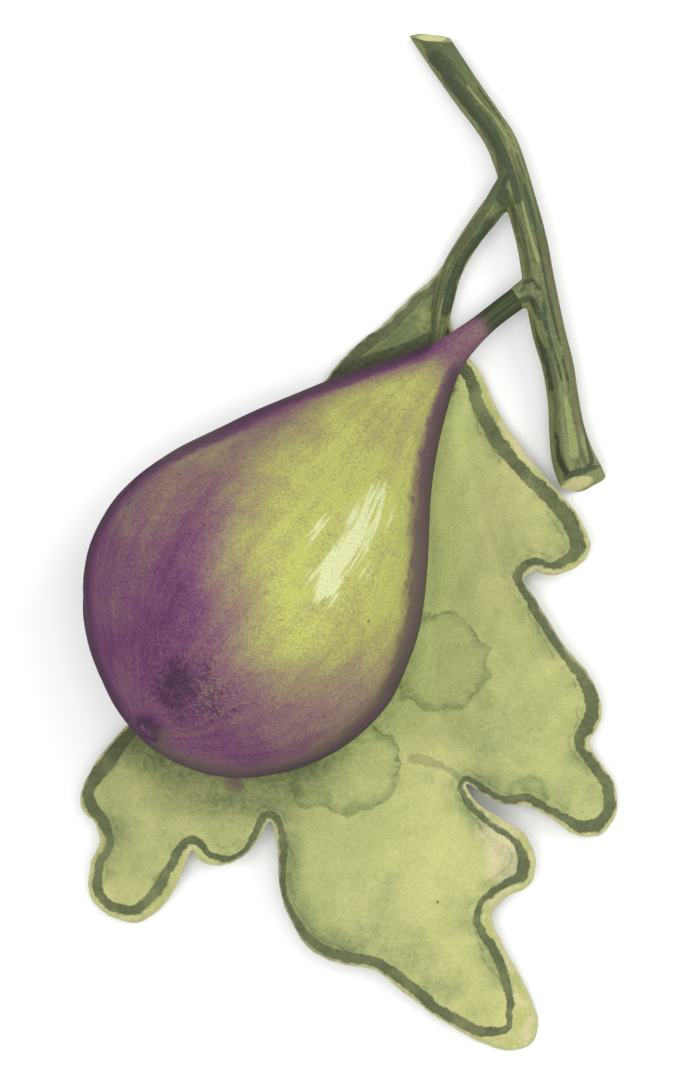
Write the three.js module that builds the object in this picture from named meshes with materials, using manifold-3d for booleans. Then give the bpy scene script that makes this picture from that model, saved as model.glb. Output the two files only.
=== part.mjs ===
// A fig on a short cut twig, with one lobed leaf, lying on its side on a table.
// Millimetres, +Z up. The origin is on the table, at the middle of the flat spot of the blade that
// carries the fruit. X runs to the right across the leaf, Y from the leaf's tip towards the twig.
import * as THREE from "three";
import { mergeVertices } from "three/addons/utils/BufferGeometryUtils.js";
import Module from "manifold-3d";

// Driving dimensions

const GAP = 0.3; // clear space between two pieces that meet

const FIG = {
  belly: [-3.1, -3.9, 25.0], // middle of the widest section
  neck: [26.5, 33.2, 7.5], // where the fruit has narrowed to its stalk
  bellyRadius: 23.5,
  eyeLength: 24.5, // belly to eye, along the fruit
  taper: [[9.4, 21.7], [19.4, 17.1], [29.3, 11.5], [39.2, 6.3], [46.6, 2.9]], // from belly, radius
  neckRadius: 2.0,
  stalkRadius: 1.6,
  bow: 1.4, // how far the neck leans to the left of a straight line
  cheekDepth: 1.9, // the left flank next to the eye is flattened by this much
  cheekTurn: 28, // degrees from the eye to the middle of that flank
  ribs: 12,
  ribHeight: 0.22,
  sides: 48,
};

const EYE = {
  lipRadius: 2.3,
  lipHeight: 0.25,
  depth: 1.3,
  scales: 7,
  scaleLength: 2.4,
  scaleWidth: 1.8,
};

const BLADE = {
  thickness: 0.9,
  flatRadius: 18, // the fruit presses the blade flat this far round the origin
  freeRadius: 38, // from here outwards the blade lies in its own waves
  baseHeight: 1.7, // the blade's height where the leaf stalk enters it
  pillow: 0.9, // how far the blade swells between its main veins
  pillowReach: 6.5,
  gridStep: 3.5,
  marginStep: 1.8,
};

// The five lobes of the blade: where each main vein bends and ends, how high the vein arches
// above the table on the way, and how high its tip ends.
const BLADE_BASE = [24.1, 38.5];
const LOBES = [
  { bend: [26.2, 19.5], tip: [43.2, 4.4], arch: 1.4, lift: 4.2 },
  { bend: [29.0, -2.0], tip: [46.4, -33.5], arch: 3.6, lift: 1.2 },
  { bend: [17.5, -20.5], tip: [34.2, -64.8], arch: 4.6, lift: 0.4 },
  { bend: [8.3, -9.0], tip: [-21.6, -46.0], arch: 4.2, lift: 1.6 },
  { bend: [4.0, 19.0], tip: [-21.0, -2.0], arch: 0.8, lift: 0.6 },
];

// The main veins stand out as ribs on the lower face. Where the fruit presses the blade flat
// they lie inside its thickness.
const RIB = { drop: 1.0, thinnest: 0.35, reach: 0.92 };

// Three vein knuckles under the fruit, on which the blade bears on the table.
const KNUCKLES = { at: [[-15.0, 1.0], [11.5, -13.5], [7.0, 15.0]], drop: 0.04, radius: 1.0, height: 0.4 };

// The blade's margin, clockwise from the leaf stalk, lobe by lobe, each with the notch that ends it.
const MARGIN = {
  rightShoulder: [[24.7, 39.2], [25.0, 35.0], [26.7, 31.6], [29.0, 29.0], [31.9, 22.7], [35.4, 17.5],
    [39.6, 12.5], [42.6, 8.9]],
  rightBasal: [[44.7, 4.5], [43.3, 1.7], [39.5, 0.0], [36.7, 0.5], [35.3, -0.5]],
  rightLateral: [[37.4, -3.8], [41.0, -9.8], [44.7, -14.4], [46.3, -18.3], [45.6, -21.4],
    [44.5, -23.4], [45.9, -25.9], [48.2, -29.4], [48.3, -33.2], [46.3, -36.3], [43.3, -36.7],
    [39.5, -34.4], [35.8, -32.3], [32.5, -32.1], [29.6, -30.6], [27.2, -29.2]],
  central: [[28.4, -32.4], [31.8, -34.8], [35.0, -36.8], [36.8, -40.2], [36.0, -43.5], [32.5, -45.4],
    [30.8, -47.5], [32.2, -51.5], [35.1, -57.0], [37.2, -62.3], [36.5, -65.7], [33.2, -66.8],
    [29.0, -65.4], [23.8, -62.4], [18.8, -58.9], [14.7, -55.6], [10.2, -54.6], [5.7, -52.9],
    [2.8, -48.7], [1.0, -43.8], [0.7, -38.5], [-0.4, -34.4]],
  leftLateral: [[-1.8, -36.8], [-4.3, -39.6], [-7.7, -40.7], [-10.2, -39.9], [-11.3, -38.5],
    [-12.6, -41.6], [-15.1, -46.1], [-19.2, -48.7], [-23.4, -47.6], [-25.8, -44.5], [-25.6, -40.5],
    [-24.2, -37.0], [-24.9, -34.7], [-26.7, -32.9], [-26.6, -29.7], [-24.4, -25.5], [-20.9, -21.4],
    [-16.7, -18.3], [-14.0, -14.6], [-14.2, -11.4]],
  leftBasal: [[-17.5, -8.6], [-21.1, -5.2], [-22.3, 0.4], [-20.0, 6.3], [-14.8, 11.9], [-7.8, 17.2],
    [-1.3, 21.7], [4.1, 24.8]],
  leftShoulder: [[7.4, 27.4], [10.4, 31.2], [16.0, 35.8], [20.5, 39.8], [23.0, 42.3]],
};

// Stations along the stems: position and radius.
const LEAF_STALK = [
  { at: [27.8, 47.3, 4.2], radius: 1.45 },
  { at: [25.3, 43.0, 3.3], radius: 1.45 },
  { at: [24.0, 38.5, 2.5], radius: 1.45 },
  { at: [23.3, 34.5, 2.1], radius: 1.2 },
  { at: [22.5, 30.5, 1.9], radius: 0.6 },
];

const TWIG = [
  { at: [20.3, 78.6, 2.5], radius: 2.3 },
  { at: [22.3, 75.5, 2.6], radius: 2.3 },
  { at: [27.4, 67.9, 3.5], radius: 2.25 },
  { at: [32.1, 60.6, 4.3], radius: 2.25 },
  { at: [34.9, 51.9, 4.8], radius: 2.2 },
  { at: [36.8, 43.4, 5.0], radius: 2.1 },
  { at: [38.7, 34.3, 4.8], radius: 2.15 },
  { at: [40.3, 26.5, 4.2], radius: 2.3 },
  { at: [41.4, 20.5, 3.7], radius: 2.6 },
  { at: [42.4, 16.6, 3.5], radius: 3.0 },
  { at: [43.7, 13.4, 3.5], radius: 3.2 },
  { at: [45.4, 10.0, 3.5], radius: 3.0 },
];
const TWIG_RIDGES = { count: 5, height: 0.16 };
const TOP_CUT = { at: [22.3, 75.6, 2.6], outward: [0.08, 1.0, 0.25] };
const HEEL_CUT = { at: [43.7, 13.7, 3.5], outward: [0.3, -0.85, 0.45] };

// The raised nodes on the twig: where each starts in the stem, where its end face is, and its radii.
const LEAF_NODE = { from: [33.6, 55.1, 4.7], to: [31.0, 51.6, 4.8], fromRadius: 2.1, toRadius: 1.8 };
const FIG_NODE = { from: [37.2, 40.6, 5.0], to: [34.2, 38.9, 5.2], fromRadius: 2.2, toRadius: 1.9 };

const UP = new THREE.Vector3(0, 0, 1);
const wasm = await Module();
wasm.setup();

// Small helpers

const vector = (list) => new THREE.Vector3(...list);
const direction = (from, to) => vector(to).sub(vector(from)).normalize();

function smoothstep(value, low, high) {
  return THREE.MathUtils.smoothstep(value, low, high);
}

// The place where the stem that grows from a node begins, a gap away from the node's end face,
// or a point that much further past it.
function beyond(node, past = 0) {
  return vector(node.to).addScaledVector(direction(node.from, node.to), GAP + past);
}

function solidOf(geometry) {
  const bare = geometry.clone();
  for (const name of Object.keys(bare.attributes)) {
    if (name !== "position") bare.deleteAttribute(name);
  }
  const merged = mergeVertices(bare, 1e-4);
  return new wasm.Manifold(new wasm.Mesh({
    numProp: 3,
    vertProperties: merged.getAttribute("position").array,
    triVerts: new Uint32Array(merged.index.array),
  }));
}

function geometryOf(solid) {
  const { vertProperties, triVerts } = solid.getMesh();
  const geometry = new THREE.BufferGeometry();
  geometry.setAttribute("position", new THREE.BufferAttribute(vertProperties, 3));
  geometry.setIndex(new THREE.BufferAttribute(triVerts, 1));
  geometry.computeVertexNormals();
  return geometry;
}

// Closes a row of rings, each a list of points that starts at the same side, into one skin.
// The first and last ring are closed by a fan round their own hub point.
function skin(rings, firstHub, lastHub) {
  const sides = rings[0].length;
  const points = [...rings.flat(), firstHub, lastHub];
  const first = points.length - 2;
  const last = points.length - 1;
  const faces = [];
  for (let side = 0; side < sides; side++) {
    const next = (side + 1) % sides;
    faces.push(first, next, side);
    for (let ring = 0; ring + 1 < rings.length; ring++) {
      const here = ring * sides;
      const there = here + sides;
      faces.push(here + side, here + next, there + next);
      faces.push(here + side, there + next, there + side);
    }
    const end = (rings.length - 1) * sides;
    faces.push(last, end + side, end + next);
  }
  const geometry = new THREE.BufferGeometry().setFromPoints(points);
  geometry.setIndex(faces);
  return geometry;
}

// A round section at a centre, square to a stem's direction, counted from its upper side.
function ring(centre, along, radiusAt, sides) {
  const side = new THREE.Vector3().crossVectors(along, UP).normalize();
  const rise = new THREE.Vector3().crossVectors(side, along);
  return Array.from({ length: sides }, (_, i) => {
    const turn = (i / sides) * 2 * Math.PI;
    const radius = radiusAt(turn);
    return centre.clone()
      .addScaledVector(rise, radius * Math.cos(turn))
      .addScaledVector(side, radius * Math.sin(turn));
  });
}

// A stem through stations of position and radius, with raised ridges along it.
function stem(stations, sides, steps, ridges = { count: 0, height: 0 }) {
  const path = new THREE.CatmullRomCurve3(stations.map((s) => vector(s.at)), false, "centripetal");
  const radii = new THREE.SplineCurve(stations.map((s, i) => new THREE.Vector2(i, s.radius)));
  const rings = [];
  for (let step = 0; step <= steps; step++) {
    const t = step / steps;
    const radius = radii.getPoint(t).y;
    const ridged = (turn) => radius + ridges.height * Math.cos(ridges.count * turn);
    rings.push(ring(path.getPoint(t), path.getTangent(t), ridged, sides));
  }
  return skin(rings, path.getPoint(0), path.getPoint(1));
}

// Fig

const figAlong = direction(FIG.belly, FIG.neck);
const figSide = new THREE.Vector3().crossVectors(figAlong, UP).normalize();
const figLength = vector(FIG.belly).distanceTo(vector(FIG.neck));
const stalkEnd = beyond(FIG_NODE);
const stalkLength = stalkEnd.clone().sub(vector(FIG.belly)).dot(figAlong);
const stalkLean = stalkEnd.clone().sub(vector(FIG.belly)).addScaledVector(figAlong, -stalkLength);

// The middle of the section at a distance from the belly towards the stalk.
function figCentre(distance) {
  const bow = Math.sin(Math.PI * smoothstep(distance, 10, figLength + 4)) * FIG.bow;
  const lean = Math.max(0, (distance - 42) / (stalkLength - 42)) ** 2;
  return vector(FIG.belly)
    .addScaledVector(figAlong, distance)
    .addScaledVector(figSide, -bow)
    .addScaledVector(stalkLean, lean);
}

// Distance from the belly and radius, from the bottom of the eye to the end of the stalk.
function figProfile() {
  const { bellyRadius, eyeLength } = FIG;
  const eye = [
    [-eyeLength + EYE.depth * 0.8, EYE.lipRadius * 0.45],
    [-eyeLength - EYE.lipHeight, EYE.lipRadius * 0.9],
    [-eyeLength - EYE.lipHeight * 0.4, EYE.lipRadius * 1.3],
  ];
  const lowerRings = 11;
  const firstTurn = 0.2;
  const lower = Array.from({ length: lowerRings }, (_, i) => {
    const turn = THREE.MathUtils.lerp(firstTurn, Math.PI / 2, i / lowerRings);
    return [-eyeLength * Math.cos(turn), bellyRadius * Math.sin(turn)];
  });
  const shoulder = new THREE.SplineCurve([
    [-9.6, bellyRadius * 0.92], [0, bellyRadius], ...FIG.taper, [figLength, FIG.neckRadius],
    [figLength + 4, FIG.stalkRadius], [stalkLength, FIG.stalkRadius],
  ].map(([distance, radius]) => new THREE.Vector2(distance, radius)));
  const upper = shoulder.getPoints(26).filter((p) => p.x >= 0).map((p) => [p.x, p.y]);
  return [...eye, ...lower, ...upper];
}

// The way the section faces: along the fruit, and turning into the twig's node along the stalk.
function figFacing(distance) {
  const intoNode = direction(FIG_NODE.to, FIG_NODE.from);
  return figAlong.clone().lerp(intoNode, smoothstep(distance, 44, stalkLength)).normalize();
}

// Moves a point of the fruit in towards the belly's middle where the flank is flattened.
function flattenCheek(point) {
  const middle = vector(FIG.belly);
  const out = point.clone().sub(middle).normalize();
  const turn = THREE.MathUtils.degToRad(FIG.cheekTurn);
  const cheek = figAlong.clone().multiplyScalar(-Math.cos(turn)).addScaledVector(figSide, -Math.sin(turn));
  const depth = FIG.cheekDepth * Math.max(0, out.dot(cheek)) ** 8;
  return point.addScaledVector(out, -depth);
}

function figBody() {
  const rings = figProfile().map(([distance, radius]) => {
    const swell = (radius / FIG.bellyRadius) ** 2;
    const ribbed = (turn) => radius + swell * FIG.ribHeight * Math.cos(FIG.ribs * turn);
    return ring(figCentre(distance), figFacing(distance), ribbed, FIG.sides).map(flattenCheek);
  });
  const eyeFloor = flattenCheek(figCentre(-FIG.eyeLength + EYE.depth));
  return skin(rings, eyeFloor, figCentre(stalkLength));
}

// One scale of the eye: a flattened cone that leans in over the opening.
function eyeScale(turn) {
  const scale = new THREE.ConeGeometry(EYE.scaleWidth / 2, EYE.scaleLength, 5);
  scale.scale(1, 1, 0.45);
  scale.translate(0, EYE.scaleLength * 0.1, 0);
  scale.rotateX(THREE.MathUtils.degToRad(-62));
  scale.translate(0, 0.1, EYE.lipRadius);
  scale.rotateY(turn);
  const turnToFig = new THREE.Quaternion().setFromUnitVectors(
    new THREE.Vector3(0, 1, 0), figAlong.clone().negate());
  scale.applyQuaternion(turnToFig);
  scale.translate(...flattenCheek(figCentre(-FIG.eyeLength)).toArray());
  return scale;
}

function figSolid() {
  let solid = solidOf(figBody());
  for (let i = 0; i < EYE.scales; i++) {
    solid = solid.add(solidOf(eyeScale((i / EYE.scales) * 2 * Math.PI)));
  }
  return solid;
}

// Leaf

const veins = LOBES.map((lobe) => ({
  ...lobe,
  points: new THREE.QuadraticBezierCurve(
    ...[BLADE_BASE, lobe.bend, lobe.tip].map((p) => new THREE.Vector2(...p)),
  ).getPoints(40),
}));

// How far along a vein its nearest point is, from 0 at the base to 1 at the tip, and how far away.
function nearestOnVein(vein, x, y) {
  let away = Infinity;
  let along = 0;
  vein.points.forEach((p, i) => {
    const distance = Math.hypot(p.x - x, p.y - y);
    if (distance < away) {
      away = distance;
      along = i / (vein.points.length - 1);
    }
  });
  return { along, away };
}

// The height of the blade's lower face above the table.
function bladeHeight(x, y) {
  let height = 0;
  let total = 0;
  let nearest = Infinity;
  for (const vein of veins) {
    const { along, away } = nearestOnVein(vein, x, y);
    const weight = 1 / (away ** 3 + 1);
    const arch = BLADE.baseHeight * (1 - along) ** 2 + vein.arch * Math.sin(Math.PI * along ** 1.5);
    height += weight * (arch + vein.lift * along ** 3);
    total += weight;
    nearest = Math.min(nearest, away);
  }
  const pillow = BLADE.pillow * (1 - Math.exp(-((nearest / BLADE.pillowReach) ** 2)));
  const free = smoothstep(Math.hypot(x, y), BLADE.flatRadius, BLADE.freeRadius);
  return free * (height / total + pillow);
}

// A waved sheet of the blade's thickness over a rectangle, its two faces split alike.
function wavedSheet(low, high) {
  const across = Math.ceil((high.x - low.x) / BLADE.gridStep);
  const deep = Math.ceil((high.y - low.y) / BLADE.gridStep);
  const faces = [0, BLADE.thickness].map((rise) => {
    const grid = new THREE.PlaneGeometry(high.x - low.x, high.y - low.y, across, deep);
    grid.translate((low.x + high.x) / 2, (low.y + high.y) / 2, 0);
    const at = grid.getAttribute("position");
    for (let i = 0; i < at.count; i++) at.setZ(i, bladeHeight(at.getX(i), at.getY(i)) + rise);
    return grid;
  });
  const [lower, upper] = faces.map((grid) => grid.getAttribute("position"));
  const points = [lower, upper].flatMap((at) =>
    Array.from({ length: at.count }, (_, i) => new THREE.Vector3().fromBufferAttribute(at, i)));
  const split = Array.from(faces[0].index.array);
  const count = lower.count;
  const index = split.map((v) => v + count);
  for (let i = 0; i < split.length; i += 3) index.push(split[i], split[i + 2], split[i + 1]);
  const width = across + 1;
  const rim = [
    ...Array.from({ length: across }, (_, i) => i),
    ...Array.from({ length: deep }, (_, j) => j * width + across),
    ...Array.from({ length: across }, (_, i) => deep * width + across - i),
    ...Array.from({ length: deep }, (_, j) => (deep - j) * width),
  ];
  rim.forEach((here, i) => {
    const next = rim[(i + 1) % rim.length];
    index.push(here, next + count, next, here, here + count, next + count);
  });
  const sheet = new THREE.BufferGeometry().setFromPoints(points);
  sheet.setIndex(index);
  return sheet;
}

// The rib of one main vein, from the base to just short of the lobe's tip.
function rib(vein) {
  const last = Math.round((vein.points.length - 1) * RIB.reach);
  const stations = [];
  for (let i = 0; i <= last; i += 3) {
    const { x, y } = vein.points[i];
    const height = bladeHeight(x, y);
    const drop = Math.min(RIB.drop * (1 - i / last), 0.7 * height) - 0.15;
    const radius = RIB.thinnest + Math.max(0, drop) * 0.4;
    stations.push({ at: [x, y, height + radius - drop], radius });
  }
  return stem(stations, 6, stations.length);
}

function knuckle([x, y]) {
  const bump = new THREE.ConeGeometry(KNUCKLES.radius, KNUCKLES.height, 6);
  bump.rotateX(-Math.PI / 2);
  return bump.translate(x, y, KNUCKLES.height / 2 - KNUCKLES.drop);
}

function leafSolid() {
  const marginPoints = Object.values(MARGIN).flat().map(([x, y]) => new THREE.Vector3(x, y, 0));
  const margin = new THREE.CatmullRomCurve3(marginPoints, true, "centripetal");
  const steps = Math.round(margin.getLength() / BLADE.marginStep);
  const outline = margin.getSpacedPoints(steps).slice(0, -1).map((p) => new THREE.Vector2(p.x, p.y));
  const box = new THREE.Box2().setFromPoints(outline).expandByScalar(BLADE.gridStep);
  const prism = new THREE.ExtrudeGeometry(new THREE.Shape(outline), { depth: 40, bevelEnabled: false });
  prism.translate(0, 0, -10);
  let blade = solidOf(wavedSheet(box.min, box.max)).intersect(solidOf(prism));
  for (const vein of veins) blade = blade.add(solidOf(rib(vein)));
  for (const place of KNUCKLES.at) blade = blade.add(solidOf(knuckle(place)));
  const stalkFoot = [0, 0.9].map((past) => ({ at: beyond(LEAF_NODE, past).toArray(), radius: 1.6 }));
  return blade.add(solidOf(stem([...stalkFoot, ...LEAF_STALK], 14, 18)));
}

// Twig

// Takes off what lies past a flat cut.
function cutOff(solid, cut) {
  const size = 30;
  const knife = new THREE.BoxGeometry(size, size, size).translate(0, 0, size / 2);
  knife.applyQuaternion(new THREE.Quaternion().setFromUnitVectors(UP, vector(cut.outward).normalize()));
  knife.translate(...cut.at);
  return solid.subtract(solidOf(knife));
}

function nodeStem(node) {
  const middle = vector(node.from).lerp(vector(node.to), 0.5).toArray();
  const stations = [
    { at: node.from, radius: node.fromRadius },
    { at: middle, radius: (node.fromRadius + node.toRadius) / 2 },
    { at: node.to, radius: node.toRadius },
  ];
  return stem(stations, 16, 4);
}

function twigSolid() {
  let solid = solidOf(stem(TWIG, 20, 32, TWIG_RIDGES));
  for (const node of [LEAF_NODE, FIG_NODE]) solid = solid.add(solidOf(nodeStem(node)));
  for (const cut of [TOP_CUT, HEEL_CUT]) solid = cutOff(solid, cut);
  return solid;
}

// The sprig

const finishes = {
  fig: { color: 0x84697a, roughness: 0.45, metalness: 0 },
  leaf: { color: 0xb9be7b, roughness: 0.7, metalness: 0 },
  twig: { color: 0x6d7853, roughness: 0.75, metalness: 0 },
};

function piece(name, solid) {
  const mesh = new THREE.Mesh(geometryOf(solid), new THREE.MeshStandardMaterial(finishes[name]));
  mesh.name = name;
  return mesh;
}

const sprig = new THREE.Group();
sprig.name = "fig_sprig";
sprig.add(piece("fig", figSolid()), piece("leaf", leafSolid()), piece("twig", twigSolid()));

export default sprig;
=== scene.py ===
import math

import bmesh
import bpy
import numpy as np
from mathutils import Matrix, Vector, noise
from mathutils.geometry import delaunay_2d_cdt


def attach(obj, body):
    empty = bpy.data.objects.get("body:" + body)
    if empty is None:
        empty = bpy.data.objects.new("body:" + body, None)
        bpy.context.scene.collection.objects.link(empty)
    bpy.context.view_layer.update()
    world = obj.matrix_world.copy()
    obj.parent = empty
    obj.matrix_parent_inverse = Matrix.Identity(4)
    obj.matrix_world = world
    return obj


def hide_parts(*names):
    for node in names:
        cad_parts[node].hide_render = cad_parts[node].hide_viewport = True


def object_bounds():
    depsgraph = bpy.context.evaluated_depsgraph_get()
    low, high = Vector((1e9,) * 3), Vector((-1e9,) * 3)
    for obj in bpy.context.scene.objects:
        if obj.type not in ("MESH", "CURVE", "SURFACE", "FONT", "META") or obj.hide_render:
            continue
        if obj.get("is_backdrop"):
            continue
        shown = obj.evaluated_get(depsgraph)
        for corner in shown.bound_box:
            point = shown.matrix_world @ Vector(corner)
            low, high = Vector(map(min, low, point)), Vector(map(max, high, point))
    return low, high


# fig on a cut twig with one leaf, laid flat and seen from straight above
# sizes below are millimetres, the mesh data is metres

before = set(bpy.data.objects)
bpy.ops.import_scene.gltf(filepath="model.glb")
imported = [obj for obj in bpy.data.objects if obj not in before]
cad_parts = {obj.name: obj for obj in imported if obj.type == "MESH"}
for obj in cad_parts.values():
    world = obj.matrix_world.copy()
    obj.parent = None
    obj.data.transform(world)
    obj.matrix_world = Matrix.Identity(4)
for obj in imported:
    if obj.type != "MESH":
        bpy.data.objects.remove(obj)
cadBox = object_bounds()
scene = bpy.context.scene
mm = 0.001


# small tools for shapes

def smoothStep(low, high, value):  # 0 below low, 1 above high, low may be the larger one
    t = np.clip((np.asarray(value, float) - low) / (high - low), 0, 1)
    return t * t * (3 - 2 * t)


def unit(v):
    v = np.asarray(v, float)
    return v / np.linalg.norm(v)


def runAlong(points):  # distance travelled at each point of a path
    return np.r_[0, np.cumsum(np.linalg.norm(np.diff(points, axis=0), axis=1))]


def curveThrough(points, step, closed=False):  # even points on a curve, columns past the third ride along
    pts = np.array(points, float)
    if closed:
        ring = np.vstack([pts[-1:], pts, pts[:2]])
    else:
        ring = np.vstack([2 * pts[0] - pts[1], pts, 2 * pts[-1] - pts[-2]])
    t = np.linspace(0, 1, 30, endpoint=False)[:, None]
    dense = []
    for p0, p1, p2, p3 in zip(ring, ring[1:], ring[2:], ring[3:]):
        spans = ((p0, p1), (p1, p2), (p2, p3))
        d0, d1, d2 = (max(np.linalg.norm(b[:3] - a[:3]) ** 0.5, 1e-3) for a, b in spans)
        m1 = ((p1 - p0) / d0 - (p2 - p0) / (d0 + d1) + (p2 - p1) / d1) * d1
        m2 = ((p2 - p1) / d1 - (p3 - p1) / (d1 + d2) + (p3 - p2) / d2) * d1
        dense.append((2 * t**3 - 3 * t**2 + 1) * p1 + (t**3 - 2 * t**2 + t) * m1
                     + (3 * t**2 - 2 * t**3) * p2 + (t**3 - t**2) * m2)
    dense = np.vstack(dense + [pts[:1] if closed else pts[-1:]])
    run = runAlong(dense[:, :3])
    count = max(3, int(round(run[-1] / step)))
    wanted = np.linspace(0, run[-1], count + 1)[:count if closed else count + 1]
    return np.column_stack([np.interp(wanted, run, column) for column in dense.T])


def nearestOn(line, points):  # which point of a line is nearest, and how far away it is
    away = np.full(len(points), 1e9)
    nearest = np.zeros(len(points), int)
    for i, p in enumerate(line):
        d = np.linalg.norm(points - p, axis=1)
        closer = d < away
        away[closer] = d[closer]
        nearest[closer] = i
    return nearest, away


def strokeShade(xy, strokes):  # 0 to 1 where painted lines run: points, half width at both ends, strength
    shade = np.zeros(len(xy))
    for points, (first, last), strength in strokes:
        line = curveThrough(points, 0.12)
        nearest, away = nearestOn(line, xy)
        along = nearest / (len(line) - 1)
        half = first + (last - first) * along
        taper = smoothStep(0.0, 0.1, along) * smoothStep(1.0, 0.88, along)
        fade = smoothStep(1.0, 0.0, (away - half * 0.55) / (half * 0.9))
        shade = np.maximum(shade, taper * strength * fade)
    return shade


def spotAt(x, y, place, reach, strength):  # strongest at a place, fading over its reach both ways
    return strength * np.exp(-(((x - place[0]) / reach[0]) ** 2 + ((y - place[1]) / reach[1]) ** 2))


def strongestSpot(x, y, spots):
    return np.max([spotAt(x, y, *spot) for spot in spots], axis=0)


def noiseAt(points, size, seed):  # smooth noise, about -1 to 1
    shift = Vector((seed * 17.3, seed * 5.1, seed * 9.7))
    return np.array([noise.noise(Vector(p) / size + shift) for p in points])


def linked(name, data):
    piece = bpy.data.objects.new(name, data)
    scene.collection.objects.link(piece)
    return piece


def meshObject(name, verts, faces, material, smooth=True):
    mesh = bpy.data.meshes.new(name)
    mesh.from_pydata([tuple(v) for v in np.asarray(verts) * mm], [], faces)
    mesh.polygons.foreach_set("use_smooth", [smooth] * len(mesh.polygons))
    mesh.materials.append(material)
    mesh.update()
    return linked(name, mesh)


def storeValues(mesh, **layers):  # a number or a vector for each vertex, by name
    for name, values in layers.items():
        values = np.asarray(values, np.float32)
        kind, field = ("FLOAT", "value") if values.ndim == 1 else ("FLOAT_VECTOR", "vector")
        layer = mesh.attributes.get(name) or mesh.attributes.new(name, kind, "POINT")
        layer.data.foreach_set(field, values.ravel())


def readValues(mesh, name):
    layer = mesh.attributes[name]
    shape, field = (-1, "value") if layer.data_type == "FLOAT" else ((-1, 3), "vector")
    values = np.zeros(len(layer.data) * (1 if field == "value" else 3), np.float32)
    layer.data.foreach_get(field, values)
    return values.astype(float).reshape(shape)


def finishPiece(piece, slot, *nodes):
    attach(piece, "root")
    if nodes:
        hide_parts(*nodes)
    piece.data.calc_loop_triangles()
    print(piece.name, len(piece.data.loop_triangles), "triangles")


# small tools for node trees

class NodeKit:  # short calls for one tree, most return the socket with their result
    def __init__(self, tree):
        self.tree = tree

    def node(self, kind, inputs=None, **settings):
        made = self.tree.nodes.new(kind)
        for name, value in settings.items():
            setattr(made, name, value)
        for key, value in (inputs or {}).items():
            if isinstance(value, bpy.types.NodeSocket):
                self.tree.links.new(value, made.inputs[key])
            else:
                made.inputs[key].default_value = value
        return made

    def get(self, kind, inputs=None, **settings):
        return self.node(kind, inputs, **settings).outputs[0]

    def math(self, operation, a, b=0.0, clamp=False):
        return self.get("ShaderNodeMath", {0: a, 1: b}, operation=operation, use_clamp=clamp)

    def add(self, a, *others):
        for b in others:
            a = self.math("ADD", a, b)
        return a

    def minus(self, a, b):
        return self.math("SUBTRACT", a, b)

    def times(self, a, b):
        return self.math("MULTIPLY", a, b)

    def range(self, value, low, high, toLow=0.0, toHigh=1.0):
        inputs = {"Value": value, "From Min": low, "From Max": high, "To Min": toLow, "To Max": toHigh}
        return self.get("ShaderNodeMapRange", inputs, interpolation_type="SMOOTHSTEP")

    def sway(self, value, amount, low=0.25):  # a noise as a little more or less
        return self.range(value, low, 1 - low, -amount, amount)

    def mix(self, factor, a, b, blend="MIX"):
        inputs = {0: factor, 6: a, 7: b}
        return self.node("ShaderNodeMix", inputs, data_type="RGBA", blend_type=blend).outputs[2]

    def ramp(self, factor, stops):
        made = self.node("ShaderNodeValToRGB", {0: factor})
        elements = made.color_ramp.elements
        while len(elements) < len(stops):
            elements.new(0.5)
        for element, (place, colour) in zip(elements, stops):
            element.position = place
            element.color = colour
        return made.outputs[0]

    def place(self):
        return self.node("ShaderNodeTexCoord").outputs["Object"]

    def attribute(self, name, output="Fac"):
        return self.node("ShaderNodeAttribute", attribute_name=name).outputs[output]

    def noise(self, vector, scale, detail=3.0, roughness=0.55):
        inputs = {"Vector": vector, "Scale": scale, "Detail": detail, "Roughness": roughness}
        return self.node("ShaderNodeTexNoise", inputs).outputs["Fac"]

    def cells(self, vector, scale, **settings):
        return self.node("ShaderNodeTexVoronoi", {"Vector": vector, "Scale": scale}, **settings)

    def specks(self, vector, scale, outer, inner, few):  # a dot in some of the cells, fewer as few nears 1
        cell = self.cells(vector, scale)
        lot = self.get("ShaderNodeSeparateColor", {0: cell.outputs["Color"]})
        dot = self.range(cell.outputs["Distance"], outer, inner)
        return self.times(dot, self.math("GREATER_THAN", lot, few))

    def drawnOut(self, vector, scale):  # for noise that runs in streaks
        return self.get("ShaderNodeMapping", {"Vector": vector, "Scale": scale})

    def vector(self, operation, a, b=(0.0, 0.0, 0.0), output=0):
        return self.node("ShaderNodeVectorMath", {0: a, 1: b}, operation=operation).outputs[output]

    def scaled(self, vector, factor):
        return self.get("ShaderNodeVectorMath", {0: vector, 3: factor}, operation="SCALE")

    def combine(self, x=0.0, y=0.0, z=0.0):
        return self.get("ShaderNodeCombineXYZ", {0: x, 1: y, 2: z})

    def store(self, shape, name, value, kind="FLOAT"):
        inputs = {"Geometry": shape, "Name": name, "Value": value}
        return self.get("GeometryNodeStoreNamedAttribute", inputs, data_type=kind)


class PaintKit(NodeKit):  # the same for a material, with its shader
    def __init__(self, name, roughness, specular):
        self.material = bpy.data.materials.new(name)
        self.material.use_nodes = True
        super().__init__(self.material.node_tree)
        self.shader = self.tree.nodes["Principled BSDF"]
        self.shader.inputs["Roughness"].default_value = roughness
        self.shader.inputs["Specular IOR Level"].default_value = specular

    def coat(self, amount, tone, blend="MIX"):  # lays a tone over the colour so far
        self.colour = self.mix(amount, self.colour, tone, blend)

    def wire(self, socket, value):
        self.tree.links.new(value, self.shader.inputs[socket])

    def bump(self, height, strength, distance):
        inputs = {"Height": height, "Strength": strength, "Distance": distance * mm}
        self.wire("Normal", self.get("ShaderNodeBump", inputs))


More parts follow.
